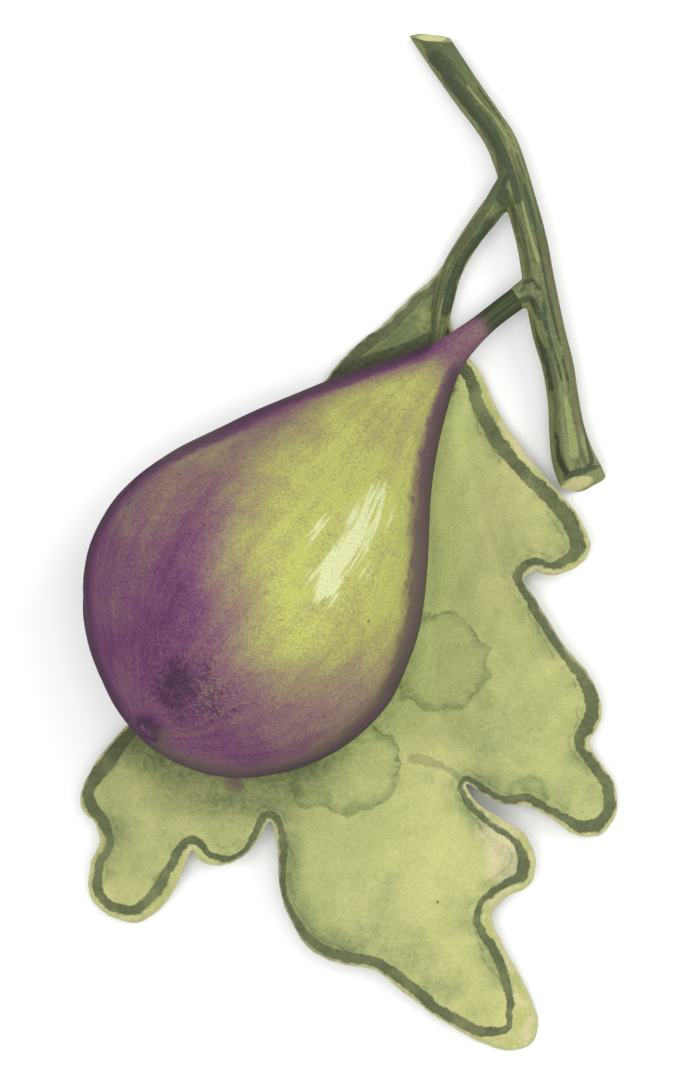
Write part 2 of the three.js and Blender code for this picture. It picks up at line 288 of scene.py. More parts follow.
def paint(r, g, b, level=0.8):  # a paint colour, 0 to 255, as a linear value, darker for the bright light
    linear = [(c / 255 / 12.92) if c < 11 else ((c / 255 + 0.055) / 1.055) ** 2.4 for c in (r, g, b)]
    return tuple(level * c for c in linear) + (1.0,)


def mottledMaterial(name, tones, scale, roughness, specular):
    k = PaintKit(name, roughness, specular)
    mottle = k.range(k.noise(k.place(), scale, 3), 0.35, 0.65)
    k.wire("Base Color", k.mix(mottle, *tones))
    return k.material


def newTree(name, inputs):  # a geometry tree with named inputs, listed by kind
    tree = bpy.data.node_groups.new(name, "GeometryNodeTree")
    for kind, labels in {"Geometry": ("Geometry",), "Material": ("Material",), **inputs}.items():
        for label in labels:
            tree.interface.new_socket(label, in_out="INPUT", socket_type="NodeSocket" + kind)
    tree.interface.new_socket("Geometry", in_out="OUTPUT", socket_type="NodeSocketGeometry")
    return NodeKit(tree), tree.nodes.new("NodeGroupInput").outputs


def endTree(k, shape, material):
    shape = k.get("GeometryNodeSetShadeSmooth", {0: shape})
    shape = k.get("GeometryNodeRealizeInstances", {0: shape})
    shape = k.get("GeometryNodeSetMaterial", {"Geometry": shape, "Material": material})
    k.tree.links.new(shape, k.tree.nodes.new("NodeGroupOutput").inputs[0])
    return k.tree


def applyTree(host, tree, values):  # runs a node tree on the host and leaves a plain mesh
    modifier = host.modifiers.new("nodes", "NODES")
    modifier.node_group = tree
    for item in tree.interface.items_tree:
        if item.in_out == "INPUT" and item.name in values:
            modifier[item.identifier] = values[item.name]
    graph = bpy.context.evaluated_depsgraph_get()
    made = bpy.data.meshes.new_from_object(host.evaluated_get(graph), depsgraph=graph)
    host.modifiers.remove(modifier)
    old = host.data
    host.data = made
    bpy.data.meshes.remove(old)
    made.name = host.name
    return host


# camera, light and floor

view = dict(centre=(10.46, 5.04), height=151.2, plane=10.0, lens=400.0, sensor=36.0)
studio = dict(
    world=0.46, aim=(10, 0, 10), floorHalf=900, floorHeight=-0.06, floorTone=(0.93, 0.93, 0.93, 1.0),
    lamps=dict(
        key=dict(place=(800, 460, 820), size=600, power=6.0, colour=(1.0, 0.995, 0.98)),
        fill=dict(place=(-620, -280, 1150), size=1150, power=6.8, colour=(0.99, 0.995, 1.0)),
        above=dict(place=(20, 20, 1500), size=1100, power=11.8, colour=(1.0, 1.0, 1.0))),
)


def makeCamera():
    data = bpy.data.cameras.new("topCamera")
    data.lens = view["lens"]
    data.sensor_width = view["sensor"]
    data.clip_end = 20.0
    camera = linked("topCamera", data)
    reach = view["lens"] / view["sensor"] * view["height"]
    camera.location = Vector((*view["centre"], view["plane"] + reach)) * mm
    scene.camera = camera
    scene.view_settings.view_transform = "Standard"


def makeLamp(name, place, size, power, colour):
    data = bpy.data.lights.new(name, "AREA")
    data.size = size * mm
    data.energy = power
    data.color = colour
    lamp = linked(name, data)
    lamp.location = Vector(place) * mm
    lamp.rotation_euler = (Vector(studio["aim"]) - Vector(place)).to_track_quat("-Z", "Y").to_euler()


def makeStudio():
    for name, lamp in studio["lamps"].items():
        makeLamp(name, **lamp)
    scene.world = bpy.data.worlds.new("studio")
    scene.world.use_nodes = True
    background = scene.world.node_tree.nodes["Background"].inputs
    background[0].default_value = (1.0, 1.0, 1.0, 1.0)
    background[1].default_value = studio["world"]
    k = PaintKit("paleFloor", 0.9, 0.1)
    k.shader.inputs["Base Color"].default_value = studio["floorTone"]
    half, z = studio["floorHalf"], studio["floorHeight"]
    corners = [(-half, -half, z), (half, -half, z), (half, half, z), (-half, half, z)]
    floor = meshObject("floor", corners, [(0, 1, 2, 3)], k.material, smooth=False)
    floor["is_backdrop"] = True
    print("camera, light and floor ready")


makeCamera()
makeStudio()


# fig: ribbed fruit with neck, stalk and eye

figShape = dict(
    belly=(-3.1, -3.9, 25.0), neck=(26.5, 33.2, 7.5), bellyRadius=23.5, eyeLength=24.5,
    taper=[(9.4, 21.7), (19.4, 17.1), (29.3, 11.5), (39.2, 6.3), (46.6, 2.9)],  # distance, radius
    neckRadius=2.0, stalkRadius=1.6, stalkTaper=4, bow=1.4, bowFrom=10, cheekDepth=1.9, cheekTurn=28,
    nodeTo=(34.2, 38.9, 5.2), nodeFrom=(37.2, 40.6, 5.0), stalkIntoNode=0.25, leanFrom=42, turnFrom=44,
    ribs=12, ribHeight=0.22, fineRibs=41, lumps=0.14, lumpSize=7.0, neckWrinkle=0.09, wrinkles=(22.0, 40.0),
    eyeRadius=1.8, eyeDepth=1.0, sides=256, lowerRings=70, upperRings=130, flowRadius=20.0,
)

figBelly = np.array(figShape["belly"])
figAlong = unit(figShape["neck"] - figBelly)
figSide = unit(np.cross(figAlong, (0, 0, 1)))
figLength = np.linalg.norm(figShape["neck"] - figBelly)
intoNode = unit(np.subtract(figShape["nodeFrom"], figShape["nodeTo"]))
stalkEnd = figShape["nodeTo"] + intoNode * figShape["stalkIntoNode"]
stalkLength = float((stalkEnd - figBelly) @ figAlong)
stalkLean = stalkEnd - figBelly - figAlong * stalkLength


def figCentre(distance):
    bowed = float(smoothStep(figShape["bowFrom"], figLength + figShape["stalkTaper"], distance))
    bow = math.sin(math.pi * bowed) * figShape["bow"]
    lean = max(0.0, (distance - figShape["leanFrom"]) / (stalkLength - figShape["leanFrom"])) ** 2
    return figBelly + figAlong * distance - figSide * bow + stalkLean * lean


def figProfile():  # distance from the belly and radius, from the eye to the stalk's end
    shape = figShape
    belly, stalk, r = shape["bellyRadius"], shape["stalkRadius"], shape["eyeRadius"]
    end, deep = -shape["eyeLength"], shape["eyeDepth"]
    eye = curveThrough([(end + deep, 0.05), (end + deep * 0.9, r * 0.35), (end + deep * 0.3, r * 0.7),
                        (end - 0.22, r * 0.98), (end - 0.12, r * 1.3), (end + 0.05, r * 1.6)], 0.22)
    turns = np.linspace(0.19, math.pi / 2, shape["lowerRings"], endpoint=False)
    lower = np.column_stack([end * np.cos(turns), belly * np.sin(turns)])
    knots = [(-9.6, belly * 0.92), (0, belly)] + shape["taper"]  # the first sets the belly's slope
    knots += [(figLength, shape["neckRadius"])]
    knots += [(figLength + shape["stalkTaper"], stalk), (stalkLength, stalk)]
    upper = curveThrough(knots, 0.2)
    upper = upper[upper[:, 0] >= 0]
    upper = upper[np.linspace(0, len(upper) - 1, shape["upperRings"]).round().astype(int)]
    return np.vstack([eye, lower, upper])


def figAxis():  # the axis with what each ring needs: its middle, radius and the two directions across
    profile = figProfile()
    slope = np.gradient(profile[:, 1]) / np.gradient(profile[:, 0])
    slope = np.clip(np.r_[slope[:1], slope, slope[-1:]], -50, 50)
    profile = np.vstack([[profile[0, 0], 0.0], profile, [stalkLength, 0.0]])
    middle, side, rise = [], [], []
    for distance in profile[:, 0]:
        turned = float(smoothStep(figShape["turnFrom"], stalkLength, distance))
        facing = unit(figAlong + (intoNode - figAlong) * turned)
        side.append(unit(np.cross(facing, (0, 0, 1))))
        rise.append(np.cross(side[-1], facing))
        middle.append(figCentre(distance) * mm)
    mesh = bpy.data.meshes.new("figFruit")
    mesh.from_pydata([tuple(p) for p in middle], [(i, i + 1) for i in range(len(middle) - 1)], [])
    storeValues(mesh, girth=profile[:, 1] * mm, place=profile[:, 0], slope=slope)
    storeValues(mesh, middle=middle, side=side, rise=rise)
    return linked("figFruit", mesh), len(profile)


def figTree():  # a grid bent round the fruit's axis, ribbed and lumpy, one cheek pressed flatter
    k, given = newTree("figBody", {
        "Int": ("Rings", "Sides"), "Vector": ("Belly", "Cheek"),
        "Float": ("Ribs", "Rib Height", "Fine Ribs", "Lump Height", "Lump Size", "Wrinkle Height",
                  "Wrinkles From", "Wrinkles To", "Belly Radius", "Cheek Depth", "Flow Radius")})
    columns = k.add(given["Sides"], 1.0)
    grid = k.get("GeometryNodeMeshGrid", {"Vertices X": given["Rings"], "Vertices Y": columns})
    index = k.get("GeometryNodeInputIndex")
    ring = k.math("FLOOR", k.math("DIVIDE", k.add(index, 0.5), columns))
    ring = k.get("FunctionNodeFloatToInt", {0: ring})
    turn = k.math("DIVIDE", k.math("MODULO", index, columns), given["Sides"])
    turn = k.times(turn, 2 * math.pi)

    def ofRing(name, kind="FLOAT"):  # a value that the axis carries for this ring
        value = k.get("GeometryNodeInputNamedAttribute", {"Name": name}, data_type=kind)
        inputs = {"Geometry": given["Geometry"], "Value": value, "Index": ring}
        return k.get("GeometryNodeSampleIndex", inputs, data_type=kind, domain="POINT")

    def ups(noise, height):  # noise as hills and hollows
        return k.times(k.minus(noise, 0.5), k.times(height, 4.0))

    girth, place = ofRing("girth"), ofRing("place")
    cosine, sine = k.math("COSINE", turn), k.math("SINE", turn)
    flow = k.combine(k.times(cosine, given["Flow Radius"]), k.times(sine, given["Flow Radius"]), place)
    # ribs, finer ribs and soft lumps, strongest at the belly
    ribs = k.times(k.math("COSINE", k.times(turn, given["Ribs"])), given["Rib Height"])
    wander = k.times(k.math("SINE", k.times(turn, 3.0)), 2.0)
    fine = k.math("COSINE", k.add(k.times(turn, given["Fine Ribs"]), wander))
    fine = k.times(fine, k.times(given["Rib Height"], 0.2))
    lumpSize = k.combine(given["Lump Size"], given["Lump Size"], given["Lump Size"])
    lump = k.vector("DIVIDE", k.vector("MULTIPLY", flow, (1.0, 1.0, 0.55)), lumpSize)
    lump = ups(k.noise(lump, 1.0, 2.0), given["Lump Height"])
    swell = k.math("POWER", k.math("DIVIDE", girth, given["Belly Radius"]), 2.0)
    relief = k.times(swell, k.add(ribs, fine, lump))
    # long wrinkles on the neck
    neck = k.range(place, given["Wrinkles From"], given["Wrinkles To"])
    neck = k.times(neck, k.range(girth, 0.0, 0.005))
    crease = k.noise(k.vector("MULTIPLY", flow, (0.45, 0.45, 0.07)), 1.0, 2.0)
    crease = ups(crease, given["Wrinkle Height"])
    radius = k.add(girth, k.add(relief, k.times(crease, neck)))
    rise, side = ofRing("rise", "FLOAT_VECTOR"), ofRing("side", "FLOAT_VECTOR")
    out = k.vector("ADD", k.scaled(rise, cosine), k.scaled(side, sine))
    spot = k.vector("ADD", ofRing("middle", "FLOAT_VECTOR"), k.scaled(out, radius))
    # the pressed cheek
    away = k.vector("NORMALIZE", k.vector("SUBTRACT", spot, given["Belly"]))
    press = k.math("MAXIMUM", k.vector("DOT_PRODUCT", away, given["Cheek"], "Value"), 0.0)
    press = k.times(k.math("POWER", press, 8.0), given["Cheek Depth"])
    spot = k.vector("SUBTRACT", spot, k.scaled(away, press))
    shape = k.get("GeometryNodeSetPosition", {"Geometry": grid, "Position": spot})
    shape = k.store(shape, "flow", flow, "FLOAT_VECTOR")
    shape = k.store(k.store(shape, "slope", ofRing("slope")), "girth", girth)
    shape = k.get("GeometryNodeMergeByDistance", {"Geometry": shape, "Distance": 1e-6})
    return endTree(k, k.get("GeometryNodeFlipFaces", {0: shape}), given["Material"])


figColour = dict(
    ripeStops=[(0.0, paint(193, 198, 110)), (0.12, paint(178, 178, 107)), (0.28, paint(163, 153, 110)),
               (0.48, paint(147, 122, 113)), (0.68, paint(129, 90, 113)), (0.82, paint(117, 72, 110)),
               (1.0, paint(98, 58, 94))],
    # painted shade along the flanks, left and right of the fruit, by how far in from the outline
    rimLeft=[(0.0, paint(80, 55, 76)), (0.3, paint(83, 56, 79)), (0.72, paint(116, 72, 109)),
             (0.95, paint(120, 78, 112))],
    rimRight=[(0.0, paint(82, 80, 68)), (0.12, paint(86, 75, 75)), (0.24, paint(98, 78, 90)),
              (0.42, paint(100, 85, 89)), (0.62, paint(107, 95, 87)), (0.8, paint(112, 100, 88))],
    # pale is the colour of the painted highlight
    pale=paint(226, 230, 176), smudge=paint(76, 54, 76), fleck=paint(84, 56, 78), pore=paint(206, 200, 140),
    stalk=paint(84, 94, 66), stalkDark=paint(62, 70, 50), shade=(0.5, 0.46, 0.44, 1.0),
    roughness=(0.62, 0.8), rimLeftWidth=1.9, rimRightWidth=3.1,
    # where along the fruit the purple starts, at places across it, and over what length
    across=[-20, -15, -12, -9, -6, -3, 0, 3, 6, 9, 12, 15, 18],
    turnAt=[10, 15, 12, 7, 0.5, -2, -2.6, -6.6, -7.2, -7.4, -6.5, -6.4, -5],
    turnLength=[58, 48, 34, 26, 25, 28, 28, 24, 22, 22, 26, 28, 28],
    # how far the purple of the left flank reaches in, at places along the fruit
    flankAlong=[14, 20, 24, 28, 32, 36, 42], flankReach=[11, 10.5, 9, 4.6, 3.8, 3.9, 4.2],
    # how much of the right rim's width there is, at places along the fruit
    rimAlong=[-14, -6, 2, 8], rimShare=[0.55, 0.6, 0.8, 1.0],
    # spots: place along and across, reach both ways, strength
    smudges=[((-14.4, -0.4), (4.7, 4.5), 1.0), ((-13.4, 4.6), (3.6, 3.6), 0.72)],
    tailSpot=((11, -7), (6, 2.6), 0.2), ripeSpots=[((4, -19), (9, 4), -0.09), ((-9, -7), (9, 6), 0.1)],
    # the glows are a soft painted highlight
    highlightGlows=[((14.5, 0.8), (3.2, 0.9), 0.7), ((6, 5.5), (7, 4.5), 0.22)],
    # painted highlight streaks: course along and across, half width, where they start and end, strength,
    # loss on the way
    highlightStreaks=[(((5, 26), (7.6, 3.4)), 1.8, (5.5, 9), (27, 22), 1.0, 0.32),
             (((8, 26), (10.0, 6.6)), 1.7, (10, 14), (27, 21), 0.42, 0.0)],
)


def figMaterial():
    c = figColour
    k = PaintKit("figSkin", c["roughness"][0], 0.02)
    place = k.place()
    flow = k.attribute("flow", "Vector")
    cloud = k.noise(place, 130, 5, 0.62)
    grain = k.noise(place, 2300, 3, 0.65)
    streak = k.noise(k.drawnOut(flow, (0.55, 0.55, 0.06)), 1.0, 4, 0.6)
    ripe = k.add(k.attribute("ripe"), k.sway(cloud, 0.1), k.sway(grain, 0.11, 0.2), k.sway(streak, 0.06))
    k.colour = k.ramp(ripe, c["ripeStops"])
    # dark granular smudge near the eye end
    blot = k.noise(place, 420, 5, 0.7)
    smudge = k.add(k.attribute("smudge"), k.sway(blot, 0.3), k.sway(grain, 0.4, 0.2))
    k.coat(k.range(smudge, 0.2, 1.2, 0.0, 0.95), c["smudge"])
    # painted highlight as pale streaks along the fruit
    scratch = k.noise(k.drawnOut(flow, (1.5, 1.5, 0.14)), 1.0, 4, 0.65)
    stretch = k.attribute("stretch")
    gate = k.range(stretch, 0.02, 0.3)
    stretch = k.range(k.add(stretch, k.sway(scratch, 0.48)), 0.3, 0.8, 0.0, 0.92)
    k.coat(k.times(stretch, gate), c["pale"])
    k.coat(k.range(scratch, 0.6, 0.8, 0.0, 0.22), c["smudge"])
    # scattered dark flecks and pale pores
    fleck = k.specks(place, 210.0, 0.1, 0.05, 0.86)
    k.coat(k.times(fleck, 0.75), c["fleck"])
    pore = k.range(k.cells(place, 620.0).outputs["Distance"], 0.2, 0.06)
    k.coat(k.times(pore, 0.1), c["pore"])
    # painted shade: a dark rim low on the flanks, in layers, running on into the underside
    rim = k.add(k.attribute("rim"), k.sway(cloud, 0.1, 0.3), k.sway(blot, 0.12), k.sway(grain, 0.05, 0.2),
                k.sway(streak, 0.1))
    rightHand = k.attribute("rightHand")
    shadeRimTone = k.mix(rightHand, k.ramp(rim, c["rimLeft"]), k.ramp(rim, c["rimRight"]))
    veil = k.times(k.range(rim, 1.9, 0.95, 0.0, 0.12), rightHand)
    k.coat(veil, shadeRimTone)
    k.coat(k.range(rim, 1.12, 0.62, 0.0, 0.92), shadeRimTone)
    # green striped stalk, then the grain of the skin
    stripe = k.noise(k.drawnOut(flow, (0.35, 0.35, 0.05)), 1.0, 3, 0.6)
    stalk = k.mix(k.range(stripe, 0.4, 0.6), c["stalk"], c["stalkDark"])
    k.coat(k.attribute("stalk"), stalk)
    speck = k.noise(place, 3600, 2, 0.7)
    k.coat(k.range(speck, 0.38, 0.75, 0.0, 0.5), c["shade"], "MULTIPLY")
    k.wire("Base Color", k.colour)
    k.wire("Roughness", k.range(cloud, 0.3, 0.7, *c["roughness"]))
    k.bump(k.add(k.times(streak, 0.7), k.times(grain, 0.3)), 0.35, 0.12)
    return k.material


def figPlaces(points):  # along the fruit from the belly and across it to the right, as seen from above
    flat = points[:, :2] - figBelly[:2]
    heading = unit(figAlong[:2])
    return flat @ heading, flat @ np.array([heading[1], -heading[0]])


def figRipeness(s, w, fromEdge):  # 0 yellow-green to 1 purple
    c = figColour
    turnAt = np.interp(w, c["across"], c["turnAt"])
    lower = 1 - smoothStep(-0.5, 0.5, (s - turnAt) / np.interp(w, c["across"], c["turnLength"]))
    tail = spotAt(s, w, *c["tailSpot"])
    left = np.clip(1 - fromEdge / np.interp(s, c["flankAlong"], c["flankReach"]), 0, 1)
    left = 0.75 * left * smoothStep(13, 21, s) * smoothStep(1, -3, w)
    right = 0.31 * smoothStep(9, 19, w) * smoothStep(16, 0, s)
    neck = 0.62 * smoothStep(39, 47, s)
    ripe = 1 - (1 - lower) * (1 - tail) * (1 - left) * (1 - right) * (1 - neck)
    ripe -= 0.3 * np.maximum(ripe - 0.6, 0)
    ripe += 0.04 + 0.1 * smoothStep(22, 35, s) + sum(spotAt(s, w, *spot) for spot in c["ripeSpots"])
    return 0.8 * ripe


def figPaintedHighlight(s, w):  # painted highlight: pale streaks and soft glows
    total = sum(spotAt(s, w, *glow) for glow in figColour["highlightGlows"])
    for course, half, starts, ends, strength, loss in figColour["highlightStreaks"]:
        line = np.exp(-((w - np.interp(s, *course)) / half) ** 2)
        line = line * smoothStep(*starts, s) * smoothStep(*ends, s)
        total += strength * line * (1 - loss * smoothStep(15, 22, s))
    return total


def makeFig():
    shape, c = figShape, figColour
    axis, rings = figAxis()
    cheekTurn = math.radians(shape["cheekTurn"])
    cheek = -figAlong * math.cos(cheekTurn) - figSide * math.sin(cheekTurn)
    fruit = applyTree(axis, figTree(), {
        "Rings": rings, "Sides": shape["sides"], "Ribs": float(shape["ribs"]),
        "Rib Height": shape["ribHeight"] * mm, "Fine Ribs": float(shape["fineRibs"]),
        "Lump Height": shape["lumps"] * mm, "Lump Size": shape["lumpSize"],
        "Wrinkle Height": shape["neckWrinkle"] * mm, "Wrinkles From": shape["wrinkles"][0],
        "Wrinkles To": shape["wrinkles"][1], "Belly Radius": shape["bellyRadius"] * mm,
        "Belly": tuple(figBelly * mm), "Cheek": tuple(cheek), "Cheek Depth": shape["cheekDepth"] * mm,
        "Flow Radius": shape["flowRadius"], "Material": figMaterial()})
    mesh = fruit.data
    points = readValues(mesh, "position") / mm
    flow = readValues(mesh, "flow")
    slope, radius = readValues(mesh, "slope"), readValues(mesh, "girth") / mm
    rise = np.cross(figSide, figAlong)
    up = flow[:, 0] / shape["flowRadius"] * rise[2] - slope * figAlong[2]
    up = up / np.hypot(1, slope)  # how far the skin faces up, without its ribs
    outline = points[np.abs(up) < 0.03][:, :2]
    fromEdge = nearestOn(outline, points[:, :2])[1]  # from the outline as seen from above
    s, w = figPlaces(points)
    ripe = figRipeness(s, w, fromEdge)
    ripe = ripe + (0.62 - ripe) * smoothStep(0.1, -0.5, up)
    # the painted shade rim is 0 on the outline and 1 where it ends, and runs on into a painted dark
    # underside
    rightHand = smoothStep(0.12, 0.55, w / np.maximum(radius, 2))
    broad = c["rimRightWidth"] * np.interp(s, c["rimAlong"], c["rimShare"])
    width = c["rimLeftWidth"] + (broad - c["rimLeftWidth"]) * rightHand
    rim = np.where(up > 0, fromEdge / width, 0.5 * smoothStep(0.0, -0.85, up))
    rightHand = rightHand * (1 - 0.45 * smoothStep(14, 32, s)) * smoothStep(-0.4, 0.05, up)
    eye = 0.5 * smoothStep(2.6, 1.7, radius) * (flow[:, 2] < -22)
    smudge = eye + strongestSpot(s, w, c["smudges"])
    stretch = np.where(up > 0, figPaintedHighlight(s, w), 0)
    rim = rim + smoothStep(44, 50, flow[:, 2])
    stalk = smoothStep(52.5, 55.5, flow[:, 2])
    storeValues(mesh, ripe=ripe, rightHand=rightHand, rim=rim, smudge=smudge, stretch=stretch, stalk=stalk)
    finishPiece(fruit, "fig_skin", "fig")
    return outline


figOutline = makeFig()


# eye: a ring of small scales that closes the far end

eyeSet = dict(count=7, ring=1.5, length=1.42, width=1.3, thick=0.26, arch=0.18, lean=12, distance=23.6,
              rows=7, columns=5, tones=(paint(114, 74, 106), paint(86, 54, 80)), mottle=1200)


def eyeScaleTree():
    k, given = newTree("eyeScales", {"Int": ("Count",), "Float": ("Ring Radius", "Lean")})
    ring = k.get("GeometryNodeMeshCircle", {"Vertices": given["Count"], "Radius": given["Ring Radius"]})
    angle = k.times(k.math("DIVIDE", k.get("GeometryNodeInputIndex"), given["Count"]), 2 * math.pi)
    euler = k.combine(y=k.times(given["Lean"], -1.0), z=k.add(angle, math.pi))
    turned = k.get("FunctionNodeEulerToRotation", {0: euler})
    inputs = {"Points": ring, "Instance": given["Geometry"], "Rotation": turned}
    return endTree(k, k.get("GeometryNodeInstanceOnPoints", inputs), given["Material"])


def oneScale():  # upper and lower face of one scale, pointed towards the middle, closed at both ends
    e = eyeSet
    rows, columns = e["rows"], e["columns"]
    verts, faces = [], []
    for hand in (1, -1):
        for a in np.linspace(0, 1, rows):
            half = e["width"] / 2 * max(math.sin(math.pi * (0.3 + 0.68 * a)), 0.06)
            for b in np.linspace(-1, 1, columns):
                z = hand * e["thick"] / 2 * (1 - b * b) + e["arch"] * math.sin(math.pi * a)
                verts.append((a * e["length"], b * half, z))
    side = rows * columns
    for i in range(rows - 1):
        for q in range(i * columns, i * columns + columns - 1):
            faces.append((q, q + columns, q + columns + 1, q + 1))
            faces.append((side + q, side + q + 1, side + q + columns + 1, side + q + columns))
    for end in (0, side - columns):
        faces += [(q, q + 1, side + q + 1, side + q) for q in range(end, end + columns - 1)]
    return verts, faces


def makeEye():
    e = eyeSet
    material = mottledMaterial("eyeScale", e["tones"], e["mottle"], 0.7, 0.1)
    scales = meshObject("figEyeScales", *oneScale(), material)
    applyTree(scales, eyeScaleTree(), {"Count": e["count"], "Ring Radius": e["ring"] * mm,
                                       "Lean": math.radians(e["lean"]), "Material": material})
    work = bmesh.new()
    work.from_mesh(scales.data)
    bmesh.ops.remove_doubles(work, verts=list(work.verts), dist=1e-6)
    bmesh.ops.recalc_face_normals(work, faces=list(work.faces))
    work.to_mesh(scales.data)
    work.free()
    turned = np.column_stack([figSide, np.cross(-figAlong, figSide), -figAlong])
    middle = (figBelly - figAlong * e["distance"]) * mm
    scales.data.transform(Matrix([*np.column_stack([turned, middle]).tolist(), [0, 0, 0, 1]]))
    finishPiece(scales, "fig_skin")


makeEye()


# leaf: lobed blade with sunk veins above and ribs below

leafShape = dict(
    thickness=0.75, edgeThickness=0.28, flatRadius=18, freeRadius=38, baseHeight=1.7, pillow=0.9,
    pillowReach=6.5, base=(24.1, 38.5), veinPoints=161, gridStep=0.62, gridClear=0.4, outlineStep=0.36,
    thinZone=2.2, sink=0.1, mainSinkHalf=0.55, sideSinkHalf=0.4, sideSink=0.6, quilt=0.1, quiltReach=2.0,
    bumps=(0.07, 2.4, 5), ripple=(0.22, 7.0, 3), rippleZone=5,  # bumps and ripple: height, size, seed
    ragged=[(0.16, 3.2, 2), (0.12, 1.3, 7)],  # uneven margin: height, size, seed
    lobes=[dict(bend=(26.2, 19.5), tip=(43.2, 4.4), arch=1.4, lift=4.2),
           dict(bend=(29.0, -2.0), tip=(46.4, -33.5), arch=3.6, lift=1.2),
           dict(bend=(17.5, -20.5), tip=(34.2, -64.8), arch=4.6, lift=0.4),
           dict(bend=(8.3, -9.0), tip=(-21.6, -46.0), arch=4.2, lift=1.6),
           dict(bend=(4.0, 19.0), tip=(-21.0, -2.0), arch=0.8, lift=0.6)],
)

leafMargin = [  # x, y, gap outside the dark margin line, width of that line
    # right shoulder and basal lobe
    (24.7, 39.2, 0.2, 1.6), (25.0, 35.0, 0.2, 2.0), (26.7, 31.6, 0.4, 2.0), (29.0, 29.0, 0.8, 1.8),
    (31.9, 22.7, 1.1, 1.9), (35.4, 17.5, 1.2, 1.8), (39.6, 12.5, 0.6, 1.8), (42.6, 8.9, 0.5, 2.0),
    (44.7, 4.5, 0.8, 1.9), (43.3, 1.7, 0.8, 1.6), (39.5, 0.0, 0.9, 0.9), (36.7, 0.5, 1.1, 0.8),
    (35.3, -0.5, 0.0, 1.3),
    # right lateral lobe
    (37.4, -3.8, 0.0, 1.4), (41.0, -9.8, -0.2, 1.5), (44.7, -14.4, 0.0, 1.8), (46.3, -18.3, 0.4, 2.0),
    (45.6, -21.4, 0.5, 1.9), (44.5, -23.4, 0.9, 1.1), (45.9, -25.9, 0.4, 1.3), (48.2, -29.4, 0.1, 1.7),
    (48.3, -33.2, 0.4, 1.5), (46.3, -36.3, 0.7, 1.7), (43.3, -36.7, 0.5, 1.8), (39.5, -34.4, 0.4, 1.1),
    (35.8, -32.3, 0.5, 1.0), (32.5, -32.1, 0.1, 1.0), (29.6, -30.6, 0.2, 0.8), (27.2, -29.2, 0.4, 0.7),
    # central lobe
    (28.6, -31.7, 0.6, 0.7), (31.7, -33.9, 1.2, 0.7), (35.2, -36.2, 1.2, 0.9), (36.9, -39.8, 0.9, 1.7),
    (36.0, -43.5, 1.0, 1.6), (32.5, -45.4, 1.5, 0.8), (30.8, -47.5, 1.6, 0.9), (32.2, -51.5, 1.0, 1.1),
    (35.1, -57.0, 1.8, 1.1), (37.2, -62.3, 3.6, 1.3), (36.5, -65.7, 3.8, 1.2), (33.2, -66.8, 2.6, 1.4),
    (29.0, -65.4, 0.6, 1.6), (23.8, -62.4, 0.2, 1.6), (18.8, -58.9, 0.5, 1.5), (14.7, -55.6, 0.4, 1.4),
    (10.2, -54.6, 0.2, 1.5), (5.7, -52.9, 0.0, 1.6), (2.8, -48.7, 0.0, 1.1), (1.0, -43.8, -0.1, 0.9),
    (0.7, -38.5, 0.2, 1.1), (-0.4, -34.4, 0.5, 0.9),
    # left lateral lobe
    (-1.8, -36.8, 0.1, 1.2), (-4.3, -39.6, 0.0, 0.9), (-7.7, -40.7, 0.8, 0.9), (-10.2, -39.9, 1.0, 1.1),
    (-11.3, -38.5, 0.9, 1.2), (-12.6, -41.6, 1.2, 1.3), (-15.1, -46.1, 1.2, 1.5), (-19.2, -48.7, 1.2, 1.3),
    (-23.4, -47.6, 0.5, 1.5), (-25.8, -44.5, 0.6, 1.4), (-25.6, -40.5, 0.5, 1.1), (-24.2, -37.0, 0.7, 1.2),
    (-24.9, -34.7, 0.1, 1.8), (-26.7, -32.9, 0.6, 1.8), (-26.6, -29.7, 0.1, 1.7), (-24.4, -25.5, 0.2, 2.2),
    (-20.9, -21.4, 0.3, 1.6), (-16.7, -18.3, 0.4, 1.4), (-14.0, -14.6, 0.4, 1.4), (-14.2, -11.4, 0.4, 1.4),
    # left basal lobe and shoulder
    (-17.5, -8.6, 0.4, 1.4), (-21.1, -5.2, 0.4, 1.4), (-22.3, 0.4, 0.4, 1.4), (-20.0, 6.3, 0.4, 1.4),
    (-14.8, 11.9, 0.4, 1.4), (-7.8, 17.2, 0.4, 1.4), (-1.3, 21.7, 0.4, 1.4), (4.1, 24.8, 0.3, 1.4),
    (7.4, 27.4, 0.2, 1.4), (10.4, 31.2, 0.1, 1.5), (16.0, 35.8, 0.0, 1.6), (20.2, 39.9, 0.0, 1.4),
    (22.9, 42.3, 0.1, 1.2), (24.9, 44.6, 0.1, 1.0), (25.9, 43.2, 0.4, 0.8),
]


def onceBent(a, b, c, count):  # points of a curve from a to c that bends towards b
    t = np.linspace(0, 1, count)[:, None]
    return (1 - t) ** 2 * np.array(a) + 2 * t * (1 - t) * np.array(b) + t**2 * np.array(c)


def marginRows():  # the margin in even steps: x, y, 0, gap and line width
    rows = curveThrough([(x, y, 0.0, gap, width) for x, y, gap, width in leafMargin],
                        leafShape["outlineStep"], closed=True)
    ahead = np.roll(rows[:, :2], -1, axis=0) - np.roll(rows[:, :2], 1, axis=0)
    outside = np.column_stack([ahead[:, 1], -ahead[:, 0]]) / np.linalg.norm(ahead, axis=1, keepdims=True)
    for height, size, seed in leafShape["ragged"]:
        rows[:, :2] += outside * (height * noiseAt(rows[:, :3], size, seed))[:, None]
    return rows


mainVeins = [onceBent(leafShape["base"], lobe["bend"], lobe["tip"], leafShape["veinPoints"])
             for lobe in leafShape["lobes"]]
leafRows = marginRows()
leafOutline = leafRows[:, :2]


def looseness(xy):  # 0 where the fruit presses the blade flat, 1 where it lies in its own waves
    return smoothStep(leafShape["flatRadius"], leafShape["freeRadius"], np.hypot(xy[:, 0], xy[:, 1]))


